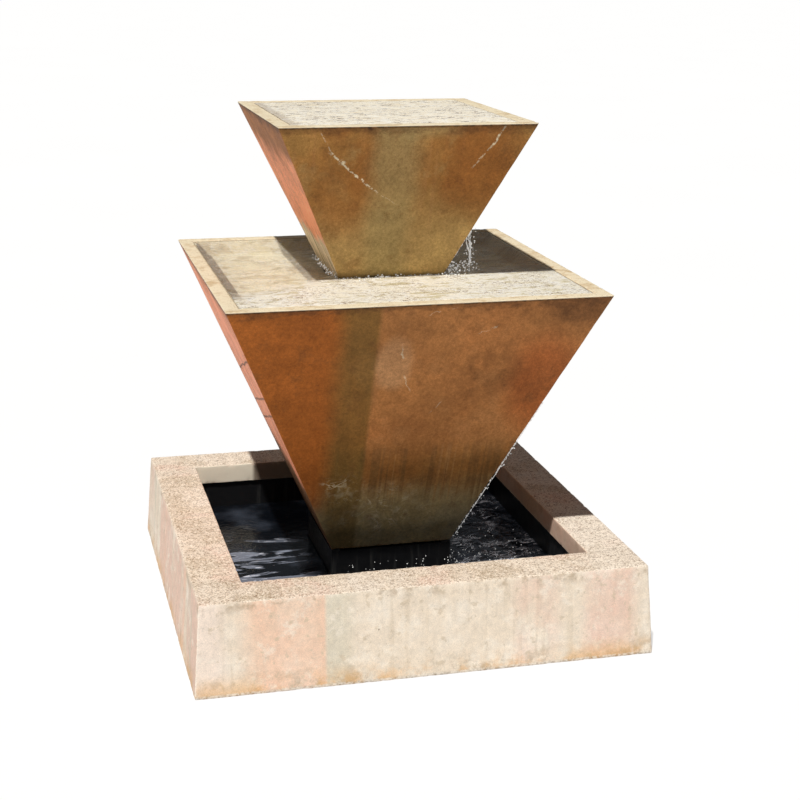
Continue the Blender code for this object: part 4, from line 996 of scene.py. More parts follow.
@dataclass(frozen=True)
class PoolStone:
    """Cream stone under shallow moving water, with painted caustic lines of bright water light, painted shade
    on the left bank and brown flecks.
    """

    name: str
    cream: Colour = tone(248, 238, 204)
    # Painted light: the caustic lines that ripples cast on the floor.
    light: Colour = tone(255, 252, 240)
    stain: Colour = tone(170, 142, 100)
    # Painted shade on the left bank and slope, which face away from the sun.
    shade: Colour = tone(112, 84, 52)
    fleck: Colour = tone(96, 76, 46)
    bank: float = -1.0

    def material(self) -> bpy.types.Material:
        """Builds and returns the material.

        Returns:
            The material.
        """
        paint = Paint(self.name)
        x, y, _ = paint.axes()
        warp = paint.noise(paint.place, 12.0, detail=2, shift=2.0)
        bent = paint.node(
            "ShaderNodeVectorMath",
            {
                0: paint.place,
                1: paint.node("ShaderNodeCombineXYZ", {0: paint.product(warp, 0.06)}).outputs[0],
            },
            operation="ADD",
        ).outputs[0]
        net = paint.noise(bent, (12.0, 20.0, 1.0), detail=3, shift=4.0, warp=0.6)
        small_net = paint.noise(bent, (26.0, 44.0, 1.0), detail=3, shift=8.0, warp=0.6)
        patch = paint.noise(paint.place, 6.0, detail=4, shift=5.0)
        fleck = paint.noise(paint.place, (95.0, 150.0, 1.0), detail=3, roughness=0.7, shift=9.0)
        near = paint.step(y, 0.05, -0.3)
        facing = paint.axes(paint.normal())
        slope = paint.step(facing[2], 0.95, 0.8)
        # Painted shade along the left bank, left of x = bank and in front of y = 0.4 m.
        bank = paint.product(paint.step(x, self.bank + 0.004, self.bank), paint.step(y, 0.43, 0.4))
        crowd = paint.math("ADD", paint.product(near, 0.5), 0.1)
        colour = paint.layers(
            self.cream,
            (paint.product(paint.step(patch, 0.5, 0.68), 0.6), self.stain),
            (paint.product(paint.step(net, 0.52, 0.6), 0.45), self.stain),
            # Painted light: caustic lines on the ridges of the ripple noise.
            (paint.product(paint.ridge(net, 0.02), 0.8), self.light),
            (paint.product(paint.ridge(small_net, 0.02), 0.45), self.light),
            (paint.product(slope, 0.35), self.stain),
            # Painted shade on slopes that face +X, away from the sun, and on the left bank.
            (paint.product(slope, paint.step(facing[0], 0.1, 0.3), 0.95), self.shade),
            (paint.product(bank, 0.95), self.shade),
            (paint.product(paint.step(fleck, 0.6, 0.7), crowd), self.fleck),
        )
        fine = paint.noise(paint.place, 300.0, detail=3, roughness=0.7)
        colour = paint.scaled(colour, 0.85, 1.1, fine)
        return paint.finish(colour, 0.5, paint.bump((fine, 0.0006, 0.5)), Specular_IOR_Level=0.4)


@dataclass(frozen=True)
class BrokenWater:
    """Shallow moving water: nearly clear where it lies calm, and pale and flecked where it churns, with
    painted shade along a left shore and painted highlights on ripple crests.
    """

    name: str
    calm: float
    churned: float
    churn_from: float
    churn_to: float
    pale: Colour = tone(255, 248, 228)
    white: Colour = tone(255, 255, 252)
    brown: Colour = tone(120, 84, 48)
    moss: Colour = tone(190, 174, 112)
    bank: float = 0.0
    fleck_low: float = 0.56
    fleck_share: float = 0.8
    fleck_size: tuple[float, float, float] = (70.0, 130.0, 1.0)
    speck_share: float = 1.0
    shine: float = 0.5
    lean: float = 0.0

    def material(self) -> bpy.types.Material:
        """Builds and returns the material.

        Returns:
            The material.
        """
        paint = Paint(self.name)
        x, y, _ = paint.axes()
        drift = paint.noise(paint.place, 7.0, detail=3, shift=3.0)
        level = paint.math("ADD", y, paint.product(paint.math("SUBTRACT", drift, 0.5), 0.16))
        lean = paint.math("MINIMUM", paint.math("ADD", x, 0.15), 0.0)
        level = paint.math("SUBTRACT", level, paint.product(lean, self.lean))
        churn = paint.step(level, self.churn_from, self.churn_to)
        fleck = paint.noise(paint.place, self.fleck_size, detail=5, roughness=0.78, shift=6.0, warp=0.5)
        speck = paint.noise(paint.place, (190.0, 260.0, 1.0), detail=3, roughness=0.75, shift=2.0)
        swirl = paint.noise(paint.place, (16.0, 38.0, 1.0), detail=4, roughness=0.6, shift=8.0, warp=1.2)
        patch = paint.noise(paint.place, (9.0, 14.0, 1.0), detail=3, shift=18.0)
        side = paint.step(paint.math("ADD", x, paint.product(drift, 0.3)), -0.05, 0.4)
        crowd = paint.product(
            paint.math("ADD", paint.product(side, 0.5), self.fleck_share - 0.3),
            paint.math("ADD", paint.step(patch, 0.4, 0.6), 0.35),
        )
        colour = paint.layers(
            self.pale,
            (paint.product(paint.step(swirl, 0.54, 0.62), 0.6), self.moss),
            (paint.product(paint.ridge(swirl, 0.03), 0.8), self.white),
            (paint.product(paint.ridge(swirl, 0.018, 0.57), paint.inverse(side), 0.6), self.brown),
            (paint.product(paint.step(fleck, self.fleck_low, self.fleck_low + 0.08), crowd), self.brown),
            (paint.product(paint.step(speck, 0.56, 0.66), crowd, self.speck_share), self.brown),
            (paint.product(paint.step(speck, 0.44, 0.36), 0.8), self.white),
        )
        # Painted shade: a brown band along the left shore, where the rim's inner face is in shadow.
        if self.bank:
            left_shore_shade = paint.math("ADD", x, paint.product(paint.math("SUBTRACT", fleck, 0.5), 0.04))
            left_shore_shade = paint.product(paint.step(left_shore_shade, self.bank + 0.016, self.bank), 0.3)
            colour = paint.mix(left_shore_shade, colour, self.brown)
        cover = paint.ranged(churn, self.calm, self.churned)
        # Painted highlights: the pale colour shows on thin ripple crests, also where the water lies calm.
        ripple_highlight = paint.noise(paint.place, (17.0, 40.0, 1.0), detail=3, shift=29.0, warp=1.0)
        shown = paint.math("MAXIMUM", cover, paint.product(paint.ridge(ripple_highlight, 0.024), 0.42))
        normal = paint.bump((swirl, 0.002, 0.3), (fleck, 0.001, 0.35))
        return paint.finish(
            colour, 0.3, normal, IOR=WATER_IOR, Alpha=shown, Specular_IOR_Level=self.shine
        )


@dataclass(frozen=True)
class DeepWater:
    """Dark moving water over a black liner, with painted pale reflections and glints, which also glow
    faintly.
    """

    name: str = "basin_water"
    deep: Colour = (0.003, 0.004, 0.006, 1.0)
    milky: Colour = (0.03, 0.036, 0.048, 1.0)
    # Painted reflection colours: shine for pale patches, glint for bright glints.
    shine: Colour = (0.28, 0.31, 0.38, 1.0)
    glint: Colour = (0.8, 0.82, 0.9, 1.0)
    # The painted colour glows this much, so the painted reflections show in shade, though the water is no
    # lamp.
    glow: float = 0.16

    def material(self) -> bpy.types.Material:
        """Builds and returns the material.

        Returns:
            The material.
        """
        paint = Paint(self.name)
        x, y, _ = paint.axes()
        cloud = paint.noise(paint.place, 6.0, detail=3, shift=2.0)
        ripple = paint.noise(paint.place, (75.0, 95.0, 1.0), detail=3, warp=0.8)
        slick = paint.noise(paint.place, (5.0, 17.0, 1.0), detail=5, roughness=0.55, shift=7.0, warp=1.0)
        streak = paint.noise(paint.place, (14.0, 60.0, 1.0), detail=4, roughness=0.6, shift=27.0, warp=1.0)
        chop = paint.noise(paint.place, (17.0, 30.0, 1.0), detail=5, roughness=0.6, shift=4.0, warp=1.4)
        gust = paint.patches(paint.place, (7.0, 10.0, 1.0), 0.44, 0.58, detail=3, shift=14.0)
        left = paint.product(paint.step(x, -0.18, -0.24), paint.band(y, -0.44, 0.14, 0.06))
        right = paint.product(paint.step(x, 0.17, 0.2), paint.band(y, -0.36, 0.34, 0.1))
        # Painted reflections: pale patches and streaks on the left, glints on the ripples on the right.
        colour = paint.layers(
            self.deep,
            (paint.step(cloud, 0.5, 0.75), self.milky),
            (paint.product(left, paint.step(slick, 0.52, 0.55), 0.5), self.shine),
            (paint.product(left, paint.ridge(slick, 0.012, 0.57), 0.6), self.shine),
            (
                paint.product(left, paint.step(slick, 0.5, 0.56), paint.step(streak, 0.58, 0.62), 0.7),
                self.glint,
            ),
            (paint.product(right, paint.ridge(chop, 0.03, 0.47), 0.2), self.shine),
            (paint.product(right, paint.ridge(chop, 0.022, 0.55), gust, 0.9), self.glint),
            (paint.product(right, paint.step(chop, 0.61, 0.65), gust, 0.9), self.glint),
        )
        normal = paint.bump((ripple, 0.003, 0.35))
        # The painted colour also glows.
        return paint.finish(
            colour, 0.04, normal, IOR=WATER_IOR, Emission_Color=colour, Emission_Strength=self.glow
        )


class Gloss(Enum):
    """How a plain moulded, drawn or pressed surface shines: roughness, and its spread."""

    MATT = (0.72, 0.14)
    SATIN = (0.42, 0.16)
    POLISHED = (0.2, 0.1)


@dataclass(frozen=True)
class Moulded:
    """Plastic, rubber, vinyl or ceramic: one colour, clouded, with a fine skin."""

    name: str
    colour: Colour
    second: Colour
    gloss: Gloss = Gloss.SATIN
    grain: float = 900.0
    depth: float = 0.00015

    def material(self) -> bpy.types.Material:
        """Builds and returns the material.

        Returns:
            The material.
        """
        paint = Paint(self.name)
        cloud = paint.noise(paint.place, 35.0, detail=4, shift=1.0)
        skin = paint.noise(paint.place, self.grain, detail=2, roughness=0.6)
        base, spread = self.gloss.value
        colour = paint.mix(paint.step(cloud, 0.35, 0.7), self.colour, self.second)
        rough = paint.ranged(cloud, base - spread, base + spread)
        return paint.finish(colour, rough, paint.bump((skin, self.depth, 0.5)))


@dataclass(frozen=True)
class BrushedSteel:
    """Stainless steel with fine drawn lines."""

    name: str = "brushed_steel"
    colour: Colour = (0.6, 0.59, 0.57, 1.0)
    shade: Colour = (0.42, 0.41, 0.4, 1.0)

    def material(self) -> bpy.types.Material:
        """Builds and returns the material.

        Returns:
            The material.
        """
        paint = Paint(self.name)
        line = paint.noise(paint.place, (200.0, 200.0, 3000.0), detail=3)
        colour = paint.mix(paint.step(line, 0.35, 0.65), self.shade, self.colour)
        rough = paint.ranged(line, 0.22, 0.42)
        return paint.finish(colour, rough, paint.bump((line, 0.0001, 0.3)), Metallic=1.0)


@dataclass(frozen=True)
class BlackCoating:
    """Waterproof black coating, wet, with faint lime runs."""

    name: str = "black_coating"
    black: Colour = (0.006, 0.006, 0.007, 1.0)
    lime: Colour = (0.05, 0.05, 0.048, 1.0)

    def material(self) -> bpy.types.Material:
        """Builds and returns the material.

        Returns:
            The material.
        """
        paint = Paint(self.name)
        run = paint.noise(paint.place, (70.0, 70.0, 5.0), detail=4, shift=3.0)
        brush = paint.noise(paint.place, 60.0, detail=3, shift=5.0)
        colour = paint.mix(paint.product(paint.step(run, 0.55, 0.75), 0.6), self.black, self.lime)
        return paint.finish(colour, paint.ranged(brush, 0.28, 0.6), paint.bump((brush, 0.001, 0.4)))


@dataclass(frozen=True)
class WaterBeads:
    """White water: droplets and foam, which glow a little as painted light."""

    name: str = "water_beads"
    white: Colour = (0.93, 0.92, 0.88, 1.0)
    clear: Colour = (0.6, 0.6, 0.56, 1.0)
    # Painted light: how strongly the beads glow.
    glow: float = 0.3

    def material(self) -> bpy.types.Material:
        """Builds and returns the material.

        Returns:
            The material.
        """
        paint = Paint(self.name)
        swirl = paint.noise(paint.place, 260.0, detail=2)
        colour = paint.mix(paint.step(swirl, 0.4, 0.65), self.clear, self.white)
        # Painted light: the beads glow white, though they are no lamp.
        painted_light = {"Emission_Color": WHITE, "Emission_Strength": self.glow}
        return paint.finish(colour, 0.12, paint.bump((swirl, 0.0006, 0.4)), IOR=WATER_IOR, **painted_light)


# ------------------------------------------------------------------ square skins


@dataclass(frozen=True)
class Corner:
    """One corner of a casting's profile."""

    half: float
    z: float
    radius: float = 0.0
    roundness: float = 0.0


@dataclass(frozen=True)
class Station:
    """One loop round a casting."""

    half: float
    z: float
    roundness: float
    wear: float


@dataclass(frozen=True)
class Cut:
    """How finely a skin is divided."""

    per_side: int
    pitch: float
    arris: float = 0.0035
    wear_reach: float = 0.014


def rounded_stations(corners: Sequence[Corner], closed: bool, cut: Cut) -> list[Station]:
    """Rounds a profile's corners and divides its straight runs.

    Args:
        corners: The profile's corners in order.
        closed: Whether the last corner joins the first.
        cut: How finely to divide it.

    Returns:
        The loops' stations in order.
    """
    count = len(corners)
    stations: list[Station] = []
    turns: list[tuple[np.ndarray, np.ndarray, np.ndarray, float]] = []
    spots = [np.array((c.half, c.z, c.roundness)) for c in corners]

    def plan(a: np.ndarray, b: np.ndarray) -> float:
        """Returns the distance between two spots of the profile."""
        return max(1e-6, float(np.hypot(*(b - a)[:2])))

    for i, corner in enumerate(corners):
        here = spots[i]
        if not closed and i in (0, count - 1) or corner.radius == 0:
            turns.append((here, here, here, 0.0))
            continue
        before, after = spots[i - 1], spots[(i + 1) % count]
        back, ahead = plan(here, before), plan(here, after)
        reach = min(corner.radius, back * 0.45, ahead * 0.45)
        start = here + (before - here) * reach / back
        end = here + (after - here) * reach / ahead
        turns.append((start, here, end, reach))
    steps = 4
    for i in range(count):
        start, here, end, reach = turns[i]
        if reach:
            for k in range(steps + 1):
                t = k / steps
                spot = start * (1 - t) ** 2 + here * 2 * t * (1 - t) + end * t * t
                stations.append(Station(spot[0], spot[1], spot[2], 1.0))
        else:
            stations.append(Station(here[0], here[1], here[2], 0.0))
        if i == count - 1 and not closed:
            break
        target, ahead_reach = turns[(i + 1) % count][0], turns[(i + 1) % count][3]
        length = plan(end, target)
        places = {j / max(1, round(length / cut.pitch)) for j in range(1, max(1, round(length / cut.pitch)))}
        for support in (0.0035, 0.008):
            if reach and support < length * 0.4:
                places.add(support / length)
            if ahead_reach and support < length * 0.4:
                places.add(1 - support / length)
        for share in sorted(places):
            spot = end + (target - end) * share
            near = 0.0
            if reach:
                near = max(near, 1 - share * length / cut.wear_reach)
            if ahead_reach:
                near = max(near, 1 - (1 - share) * length / cut.wear_reach)
            stations.append(Station(spot[0], spot[1], spot[2], max(0.0, near)))
    return stations


def square_loop(half: float, roundness: float, cut: Cut) -> tuple[np.ndarray, np.ndarray]:
    """Points of a square with rounded corners, blended towards a circle.

    Args:
        half: Half width, or radius of the circle.
        roundness: 0 for the square and 1 for the circle.
        cut: Points per side and corner radius.

    Returns:
        The points, anticlockwise from the front left, and each one's nearness to a corner.
    """
    arris = min(cut.arris, half * 0.4)
    flat = half - arris
    run = np.linspace(-flat, flat, cut.per_side + 1)
    angles = np.linspace(-90, 0, 5)[1:-1]
    side = [(x, -half) for x in run]
    bend = [
        (flat + arris * math.cos(math.radians(a)), -flat + arris * math.sin(math.radians(a))) for a in angles
    ]
    points = np.array(side + bend)
    quarter = np.linspace(-135, -45, len(side) + len(bend), endpoint=False)
    angles = np.arange(4) * math.pi / 2
    turns = [np.array(((math.cos(t), -math.sin(t)), (math.sin(t), math.cos(t)))) for t in angles]
    square = np.concatenate([points @ turn.T for turn in turns])
    circle_angles = np.radians(np.concatenate([quarter + 90 * i for i in range(4)]))
    circle = half * np.stack([np.cos(circle_angles), np.sin(circle_angles)], 1)
    distance = half - np.minimum(np.abs(square[:, 0]), np.abs(square[:, 1]))
    near = np.clip(1 - distance / cut.wear_reach, 0, 1) * (1 - roundness)
    return square * (1 - roundness) + circle * roundness, near


def skin_mesh(name: str, stations: Sequence[Station], closed: bool, cut: Cut) -> bpy.types.Mesh:
    """Builds the mesh of a square skin.

    Args:
        name: The mesh's name.
        stations: Its loops, from the profile's start to its end.
        closed: Whether the last loop joins the first; otherwise both ends are filled to a pole.
        cut: How finely each loop is divided.

    Returns:
        The mesh, with a wear attribute on its points.
    """
    points: list[np.ndarray] = []
    wear: list[np.ndarray] = []
    for station in stations:
        loop, near = square_loop(station.half, station.roundness, cut)
        points.append(np.column_stack([loop, np.full(len(loop), station.z)]))
        wear.append(np.maximum(near, station.wear))
    size = len(points[0])
    faces: list[tuple[int, ...]] = []
    rows = list(range(len(stations)))
    pairs = list(zip(rows, rows[1:]))
    if closed:
        pairs.append((rows[-1], rows[0]))
    for first, second in pairs:
        for i in range(size):
            j = (i + 1) % size
            faces.append((first * size + i, first * size + j, second * size + j, second * size + i))
    if not closed:
        for row, flip in ((rows[0], True), (rows[-1], False)):
            pole = sum(len(p) for p in points)
            points.append(np.array([[0.0, 0.0, stations[row].z]]))
            wear.append(np.zeros(1))
            for i in range(size):
                j = (i + 1) % size
                ends = (row * size + j, row * size + i) if flip else (row * size + i, row * size + j)
                faces.append((*ends, pole))
    mesh = bpy.data.meshes.new(name)
    mesh.from_pydata(np.concatenate(points).tolist(), [], faces)
    mesh.validate()
    attribute = mesh.attributes.new("wear", "FLOAT", "POINT")
    attribute.data.foreach_set("value", np.concatenate(wear).astype(np.float32))
    mesh.shade_smooth()
    return mesh


def facing_out(mesh: bpy.types.Mesh) -> bpy.types.Mesh:
    """Turns a closed mesh's faces outwards and returns it.

    Args:
        mesh: A closed mesh.

    Returns:
        The same mesh.
    """
    co = np.zeros(len(mesh.vertices) * 3)
    mesh.vertices.foreach_get("co", co)
    co = co.reshape(-1, 3)
    mesh.calc_loop_triangles()
    index = np.zeros(len(mesh.loop_triangles) * 3, np.int32)
    mesh.loop_triangles.foreach_get("vertices", index)
    a, b, c = co[index.reshape(-1, 3)].transpose(1, 0, 2)
    if np.einsum("ij,ij->i", a, np.cross(b, c)).sum() < 0:
        mesh.flip_normals()
    return mesh


def weathered(mesh: bpy.types.Mesh, chip: float, sway: float, seed: float) -> bpy.types.Mesh:
    """Wears a casting: chips its arrises and makes its faces slightly uneven, always inwards.

    Args:
        mesh: The casting, with its wear attribute.
        chip: Depth of the chips in metres.
        sway: Unevenness of the faces in metres.
        seed: Moves the noise.

    Returns:
        The mesh.
    """
    shift = Vector((seed, -seed, seed * 0.5))
    values = mesh.attributes["wear"].data
    normals = [n.vector.copy() for n in mesh.vertex_normals]
    for vertex, normal, near in zip(mesh.vertices, normals, values):
        spot = vertex.co + shift
        depth = sway * 0.5 * (1 + noise.noise(spot * 7.0))
        if near.value > 0:
            rough = noise.noise(spot * 55.0) + 0.6 * noise.noise(spot * 130.0)
            depth += near.value**2 * (0.12 * chip + chip * max(0.0, rough - 0.1))
        vertex.co -= normal * depth
    return mesh


def square_mesh(name: str, corners: Sequence[Corner], closed: bool, cut: Cut) -> bpy.types.Mesh:
    """Builds a square casting's mesh from its profile, facing outwards."""
    return facing_out(skin_mesh(name, rounded_stations(corners, closed, cut), closed, cut))


# ------------------------------------------------------------------ pieces


@dataclass
class Workshop:
    """Puts finished pieces on the fountain and keeps their materials."""

    materials: dict[str, bpy.types.Material] = field(default_factory=dict)

    def dress(self, node: str, material: bpy.types.Material) -> None:
        """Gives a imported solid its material.

        Args:
            node: The solid's name.
            material: What it is made of.
        """
        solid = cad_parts[node]
        solid.data.materials.clear()
        solid.data.materials.append(material)
        LOG.info("dressed %s with %s", node, material.name)

    def place(
        self,
        name: str,
        mesh: bpy.types.Mesh,
        material: bpy.types.Material,
        slot: str,
        replaces: Iterable[str] = (),
    ) -> bpy.types.Object:
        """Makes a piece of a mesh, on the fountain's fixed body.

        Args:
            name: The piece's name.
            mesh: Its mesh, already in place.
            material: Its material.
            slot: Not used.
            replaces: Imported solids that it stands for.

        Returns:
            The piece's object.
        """
        mesh.materials.clear()
        mesh.materials.append(material)
        piece = linked(name, mesh)
        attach(piece, ROOT_BODY)
        for node in replaces:
            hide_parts(node)
        LOG.info("placed %s: %d faces", name, len(mesh.polygons))
        return piece


def with_holes(mesh: bpy.types.Mesh, cutters: Sequence[bpy.types.Mesh]) -> bpy.types.Mesh:
    """Cuts closed meshes out of a mesh.

    Args:
        mesh: What is cut.
        cutters: What is taken out.

    Returns:
        The cut mesh.
    """
    body = linked("being_cut", mesh)
    tools = []
    for i, cutter in enumerate(cutters):
        tool = linked(f"cutter_{i}", facing_out(cutter))
        step = body.modifiers.new(f"cut_{i}", "BOOLEAN")
        step.operation, step.solver, step.object = "DIFFERENCE", "EXACT", tool
        tools.append(tool)
    graph = bpy.context.evaluated_depsgraph_get()
    cut = bpy.data.meshes.new_from_object(body.evaluated_get(graph))
    for made in (body, *tools):
        bpy.data.objects.remove(made)
    return cut


def rod_mesh(radius: float, low: Point, high: Point, sides: int = 32) -> bpy.types.Mesh:
    """Builds a closed rod between two points.

    Args:
        radius: Radius in metres.
        low: Middle of one end.
        high: Middle of the other end.
        sides: Points round it.

    Returns:
        The mesh.
    """
    start, end = Vector(low), Vector(high)
    turn = (end - start).to_track_quat("Z", "Y")
    points, faces = [], []
    for base in (start, end):
        for i in range(sides):
            angle = 2 * math.pi * i / sides
            points.append(base + turn @ Vector((radius * math.cos(angle), radius * math.sin(angle), 0)))
    for i in range(sides):
        j = (i + 1) % sides
        faces.append((i, j, sides + j, sides + i))
    faces.append(tuple(range(sides))[::-1])
    faces.append(tuple(range(sides, 2 * sides)))
    mesh = bpy.data.meshes.new("rod")
    mesh.from_pydata(points, [], faces)
    return mesh


def box_mesh(low: Point, high: Point) -> bpy.types.Mesh:
    """Builds a closed box between two corners.

    Args:
        low: Lower corner.
        high: Upper corner.

    Returns:
        The mesh.
    """
    points = [(x, y, z) for x in (low[0], high[0]) for y in (low[1], high[1]) for z in (low[2], high[2])]
    faces = [(0, 1, 3, 2), (4, 6, 7, 5), (0, 4, 5, 1), (2, 3, 7, 6), (0, 2, 6, 4), (1, 5, 7, 3)]
    mesh = bpy.data.meshes.new("box")
    mesh.from_pydata(points, [], faces)
    return mesh


@dataclass
class Basin:
    """The cast basin, its liner and its fittings."""

    draft: float = 0.0175
    rim_width: float = 0.1265
    rim_thickness: float = 0.022
    skin: float = 0.020
    lip_depth: float = 0.058
    overhang: float = 0.012
    inner_wall: float = 0.018
    floor_underside: float = 0.010
    floor_top: float = 0.028
    pad_width: float = 0.400
    drain_radius: float = 0.0186
    cord_radius: float = 0.0118
    notch_width: float = 0.034
    notch_height: float = 0.020
    cut: Cut = field(default_factory=lambda: Cut(per_side=190, pitch=0.03, arris=0.004))

    def corners(self) -> list[Corner]:
        """Returns the profile: under the floor, up inside the skin, over the rim and down to the floor.

        Returns:
            The corners in order.
        """
        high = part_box("basin")[1]
        foot, top = high.x, high.z
        rim = foot - self.draft
        opening = rim - self.rim_width
        inner = opening + self.overhang
        back = inner + self.inner_wall
        under = top - self.rim_thickness
        lean = self.draft * under / top
        lip = top - self.lip_depth
        pad = self.pad_width / 2
        return [
            Corner(pad, 0.0),
            Corner(pad, self.floor_underside),
            Corner(back, self.floor_underside),
            Corner(back, under),
            Corner(foot - lean - self.skin, under),
            Corner(foot - self.skin, 0.0),
            Corner(foot, 0.0, 0.005),
            Corner(rim, top, 0.005),
            Corner(opening, top, 0.004),
            Corner(opening, lip, 0.003),
            Corner(inner, lip),
            Corner(inner, self.floor_top),
        ]

    def cutters(self) -> list[bpy.types.Mesh]:
        """Returns what the drain, the cord way and its notch take out of the casting.

        Returns:
            The meshes to take out.
        """
        drain_low, drain_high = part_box("drain_body")
        drain = (drain_low + drain_high) / 2
        bush_low, bush_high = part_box("cord_grommet")
        bush = (bush_low + bush_high) / 2
        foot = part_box("basin")[1].x
        half = self.notch_width / 2
        return [
            rod_mesh(self.drain_radius, (drain.x, drain.y, -0.01), (drain.x, drain.y, self.floor_top + 0.02)),
            rod_mesh(self.cord_radius, (bush.x, bush_low.y, bush.z), (bush.x, bush_high.y + 0.01, bush.z)),
            box_mesh(
                (bush.x - half, foot - self.skin - 0.01, -0.02),
                (bush.x + half, foot + 0.01, self.notch_height),
            ),
        ]

    def build(self, shop: Workshop) -> None:
        """Builds the casting and dresses the liner and fittings.

        Args:
            shop: Where the pieces are put.
        """
        mesh = square_mesh("basin_casting", self.corners(), False, self.cut)
        mesh = with_holes(weathered(mesh, chip=0.0022, sway=0.0005, seed=2.0), self.cutters())
        shop.place("basin_casting", mesh, shop.materials["cast_stone"], "cast_stone", ["basin"])
        shop.dress("basin_liner", shop.materials["coating"])
        shop.dress("cord_grommet", shop.materials["rubber"])
        for node in ("drain_body", "drain_nut"):
            shop.dress(node, shop.materials["grey_plastic"])
        for node in ("drain_gasket", "drain_plug"):
            shop.dress(node, shop.materials["rubber"])


@dataclass
class Bowl:
    """One inverted pyramid: its shell, its pool tray and their sealant."""

    label: str
    foot_width: float
    pool_depth: float
    slab: float
    foot_hole: float
    tray_hole: float
    seed: float
    rim_width: float = 0.040
    skin: float = 0.021
    floor: float = 0.022
    ledge_width: float = 0.022
    ledge_depth: float = 0.045
    edge_drop: float = 0.004
    edge_width: float = 0.004
    joint: float = 0.002
    gap: float = 0.0003
    cut: Cut = field(default_factory=lambda: Cut(per_side=150, pitch=0.028, arris=0.0035))
    tray_cut: Cut = field(default_factory=lambda: Cut(per_side=110, pitch=0.03, arris=0.008))

    def __post_init__(self) -> None:
        """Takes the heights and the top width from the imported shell."""
        low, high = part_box(f"{self.label}_bowl_shell")
        self.foot_z, self.top_z, self.top_half = low.z, high.z, high.x
        self.floor_z = self.top_z - self.pool_depth
        self.ledge_z = self.floor_z - self.slab - self.gap

    def outer(self, z: float) -> float:
        """Half width of the outer face at a height."""
        foot = self.foot_width / 2
        return foot + (self.top_half - foot) * (z - self.foot_z) / (self.top_z - self.foot_z)

    def shell_corners(self) -> list[Corner]:
        """Returns the shell's profile, from its foot hole outside and back inside.

        Returns:
            The corners in order.
        """
        root = self.ledge_z - self.ledge_depth
        floor_top = self.foot_z + self.floor
        ledge = self.outer(self.ledge_z) - self.rim_width
        return [
            Corner(self.foot_hole, self.foot_z, 0.0, 1.0),
            Corner(self.foot_width / 2, self.foot_z, 0.004),
            Corner(self.top_half, self.top_z, 0.0045),
            Corner(self.top_half - self.rim_width, self.top_z, 0.003),
            Corner(ledge, self.ledge_z),
            Corner(ledge - self.ledge_width, self.ledge_z),
            Corner(self.outer(root) - self.skin, root),
            Corner(self.outer(floor_top) - self.skin, floor_top),
            Corner(self.foot_hole, floor_top, 0.0, 1.0),
        ]

    def tray_corners(self) -> list[Corner]:
        """Returns the tray's profile, from its hole below and back to its hole above.

        Returns:
            The corners in order.
        """
        under = self.ledge_z + self.gap
        edge_z = self.top_z - self.edge_drop
        edge = self.outer(edge_z) - self.rim_width - self.joint
        slope = edge - self.edge_width
        return [
            Corner(self.tray_hole, under, 0.0, 1.0),
            Corner(self.outer(under) - self.rim_width - self.joint, under),
            Corner(edge, edge_z, 0.0012),
            Corner(slope, edge_z, 0.003),
            Corner(slope - (edge_z - self.floor_z), self.floor_z, 0.012),
            Corner(self.tray_hole, self.floor_z, 0.0, 1.0),
        ]

    def build(self, shop: Workshop, stone: bpy.types.Material, pool: bpy.types.Material) -> None:
        """Builds the shell and the tray, and dresses the sealant and pads.

        Args:
            shop: Where the pieces are put.
            stone: The shell's material.
            pool: The tray's material.
        """
        name = f"{self.label}_bowl_casting"
        shell = square_mesh(name, self.shell_corners(), True, self.cut)
        weathered(shell, chip=0.0018, sway=0.0006, seed=self.seed)
        shop.place(name, shell, stone, "stained_stone", [f"{self.label}_bowl_shell"])
        tray = square_mesh(f"{self.label}_pool_tray", self.tray_corners(), True, self.tray_cut)
        weathered(tray, chip=0.0, sway=0.0006, seed=self.seed + 5)
        shop.place(f"{self.label}_pool_tray", tray, pool, "pool_stone", [f"{self.label}_bowl_tray"])
        shop.dress(f"{self.label}_tray_sealant", shop.materials["sealant"])
        for number in range(1, 5):
            shop.dress(f"{self.label}_bowl_pad_{number}", shop.materials["rubber"])


class Ripples(Enum):
    """How restless a pool is: (broad height, fine height) in metres."""

    FILM = (0.0005, 0.0004)
    POOL = (0.0010, 0.0009)
    BASIN = (0.0026, 0.0016)


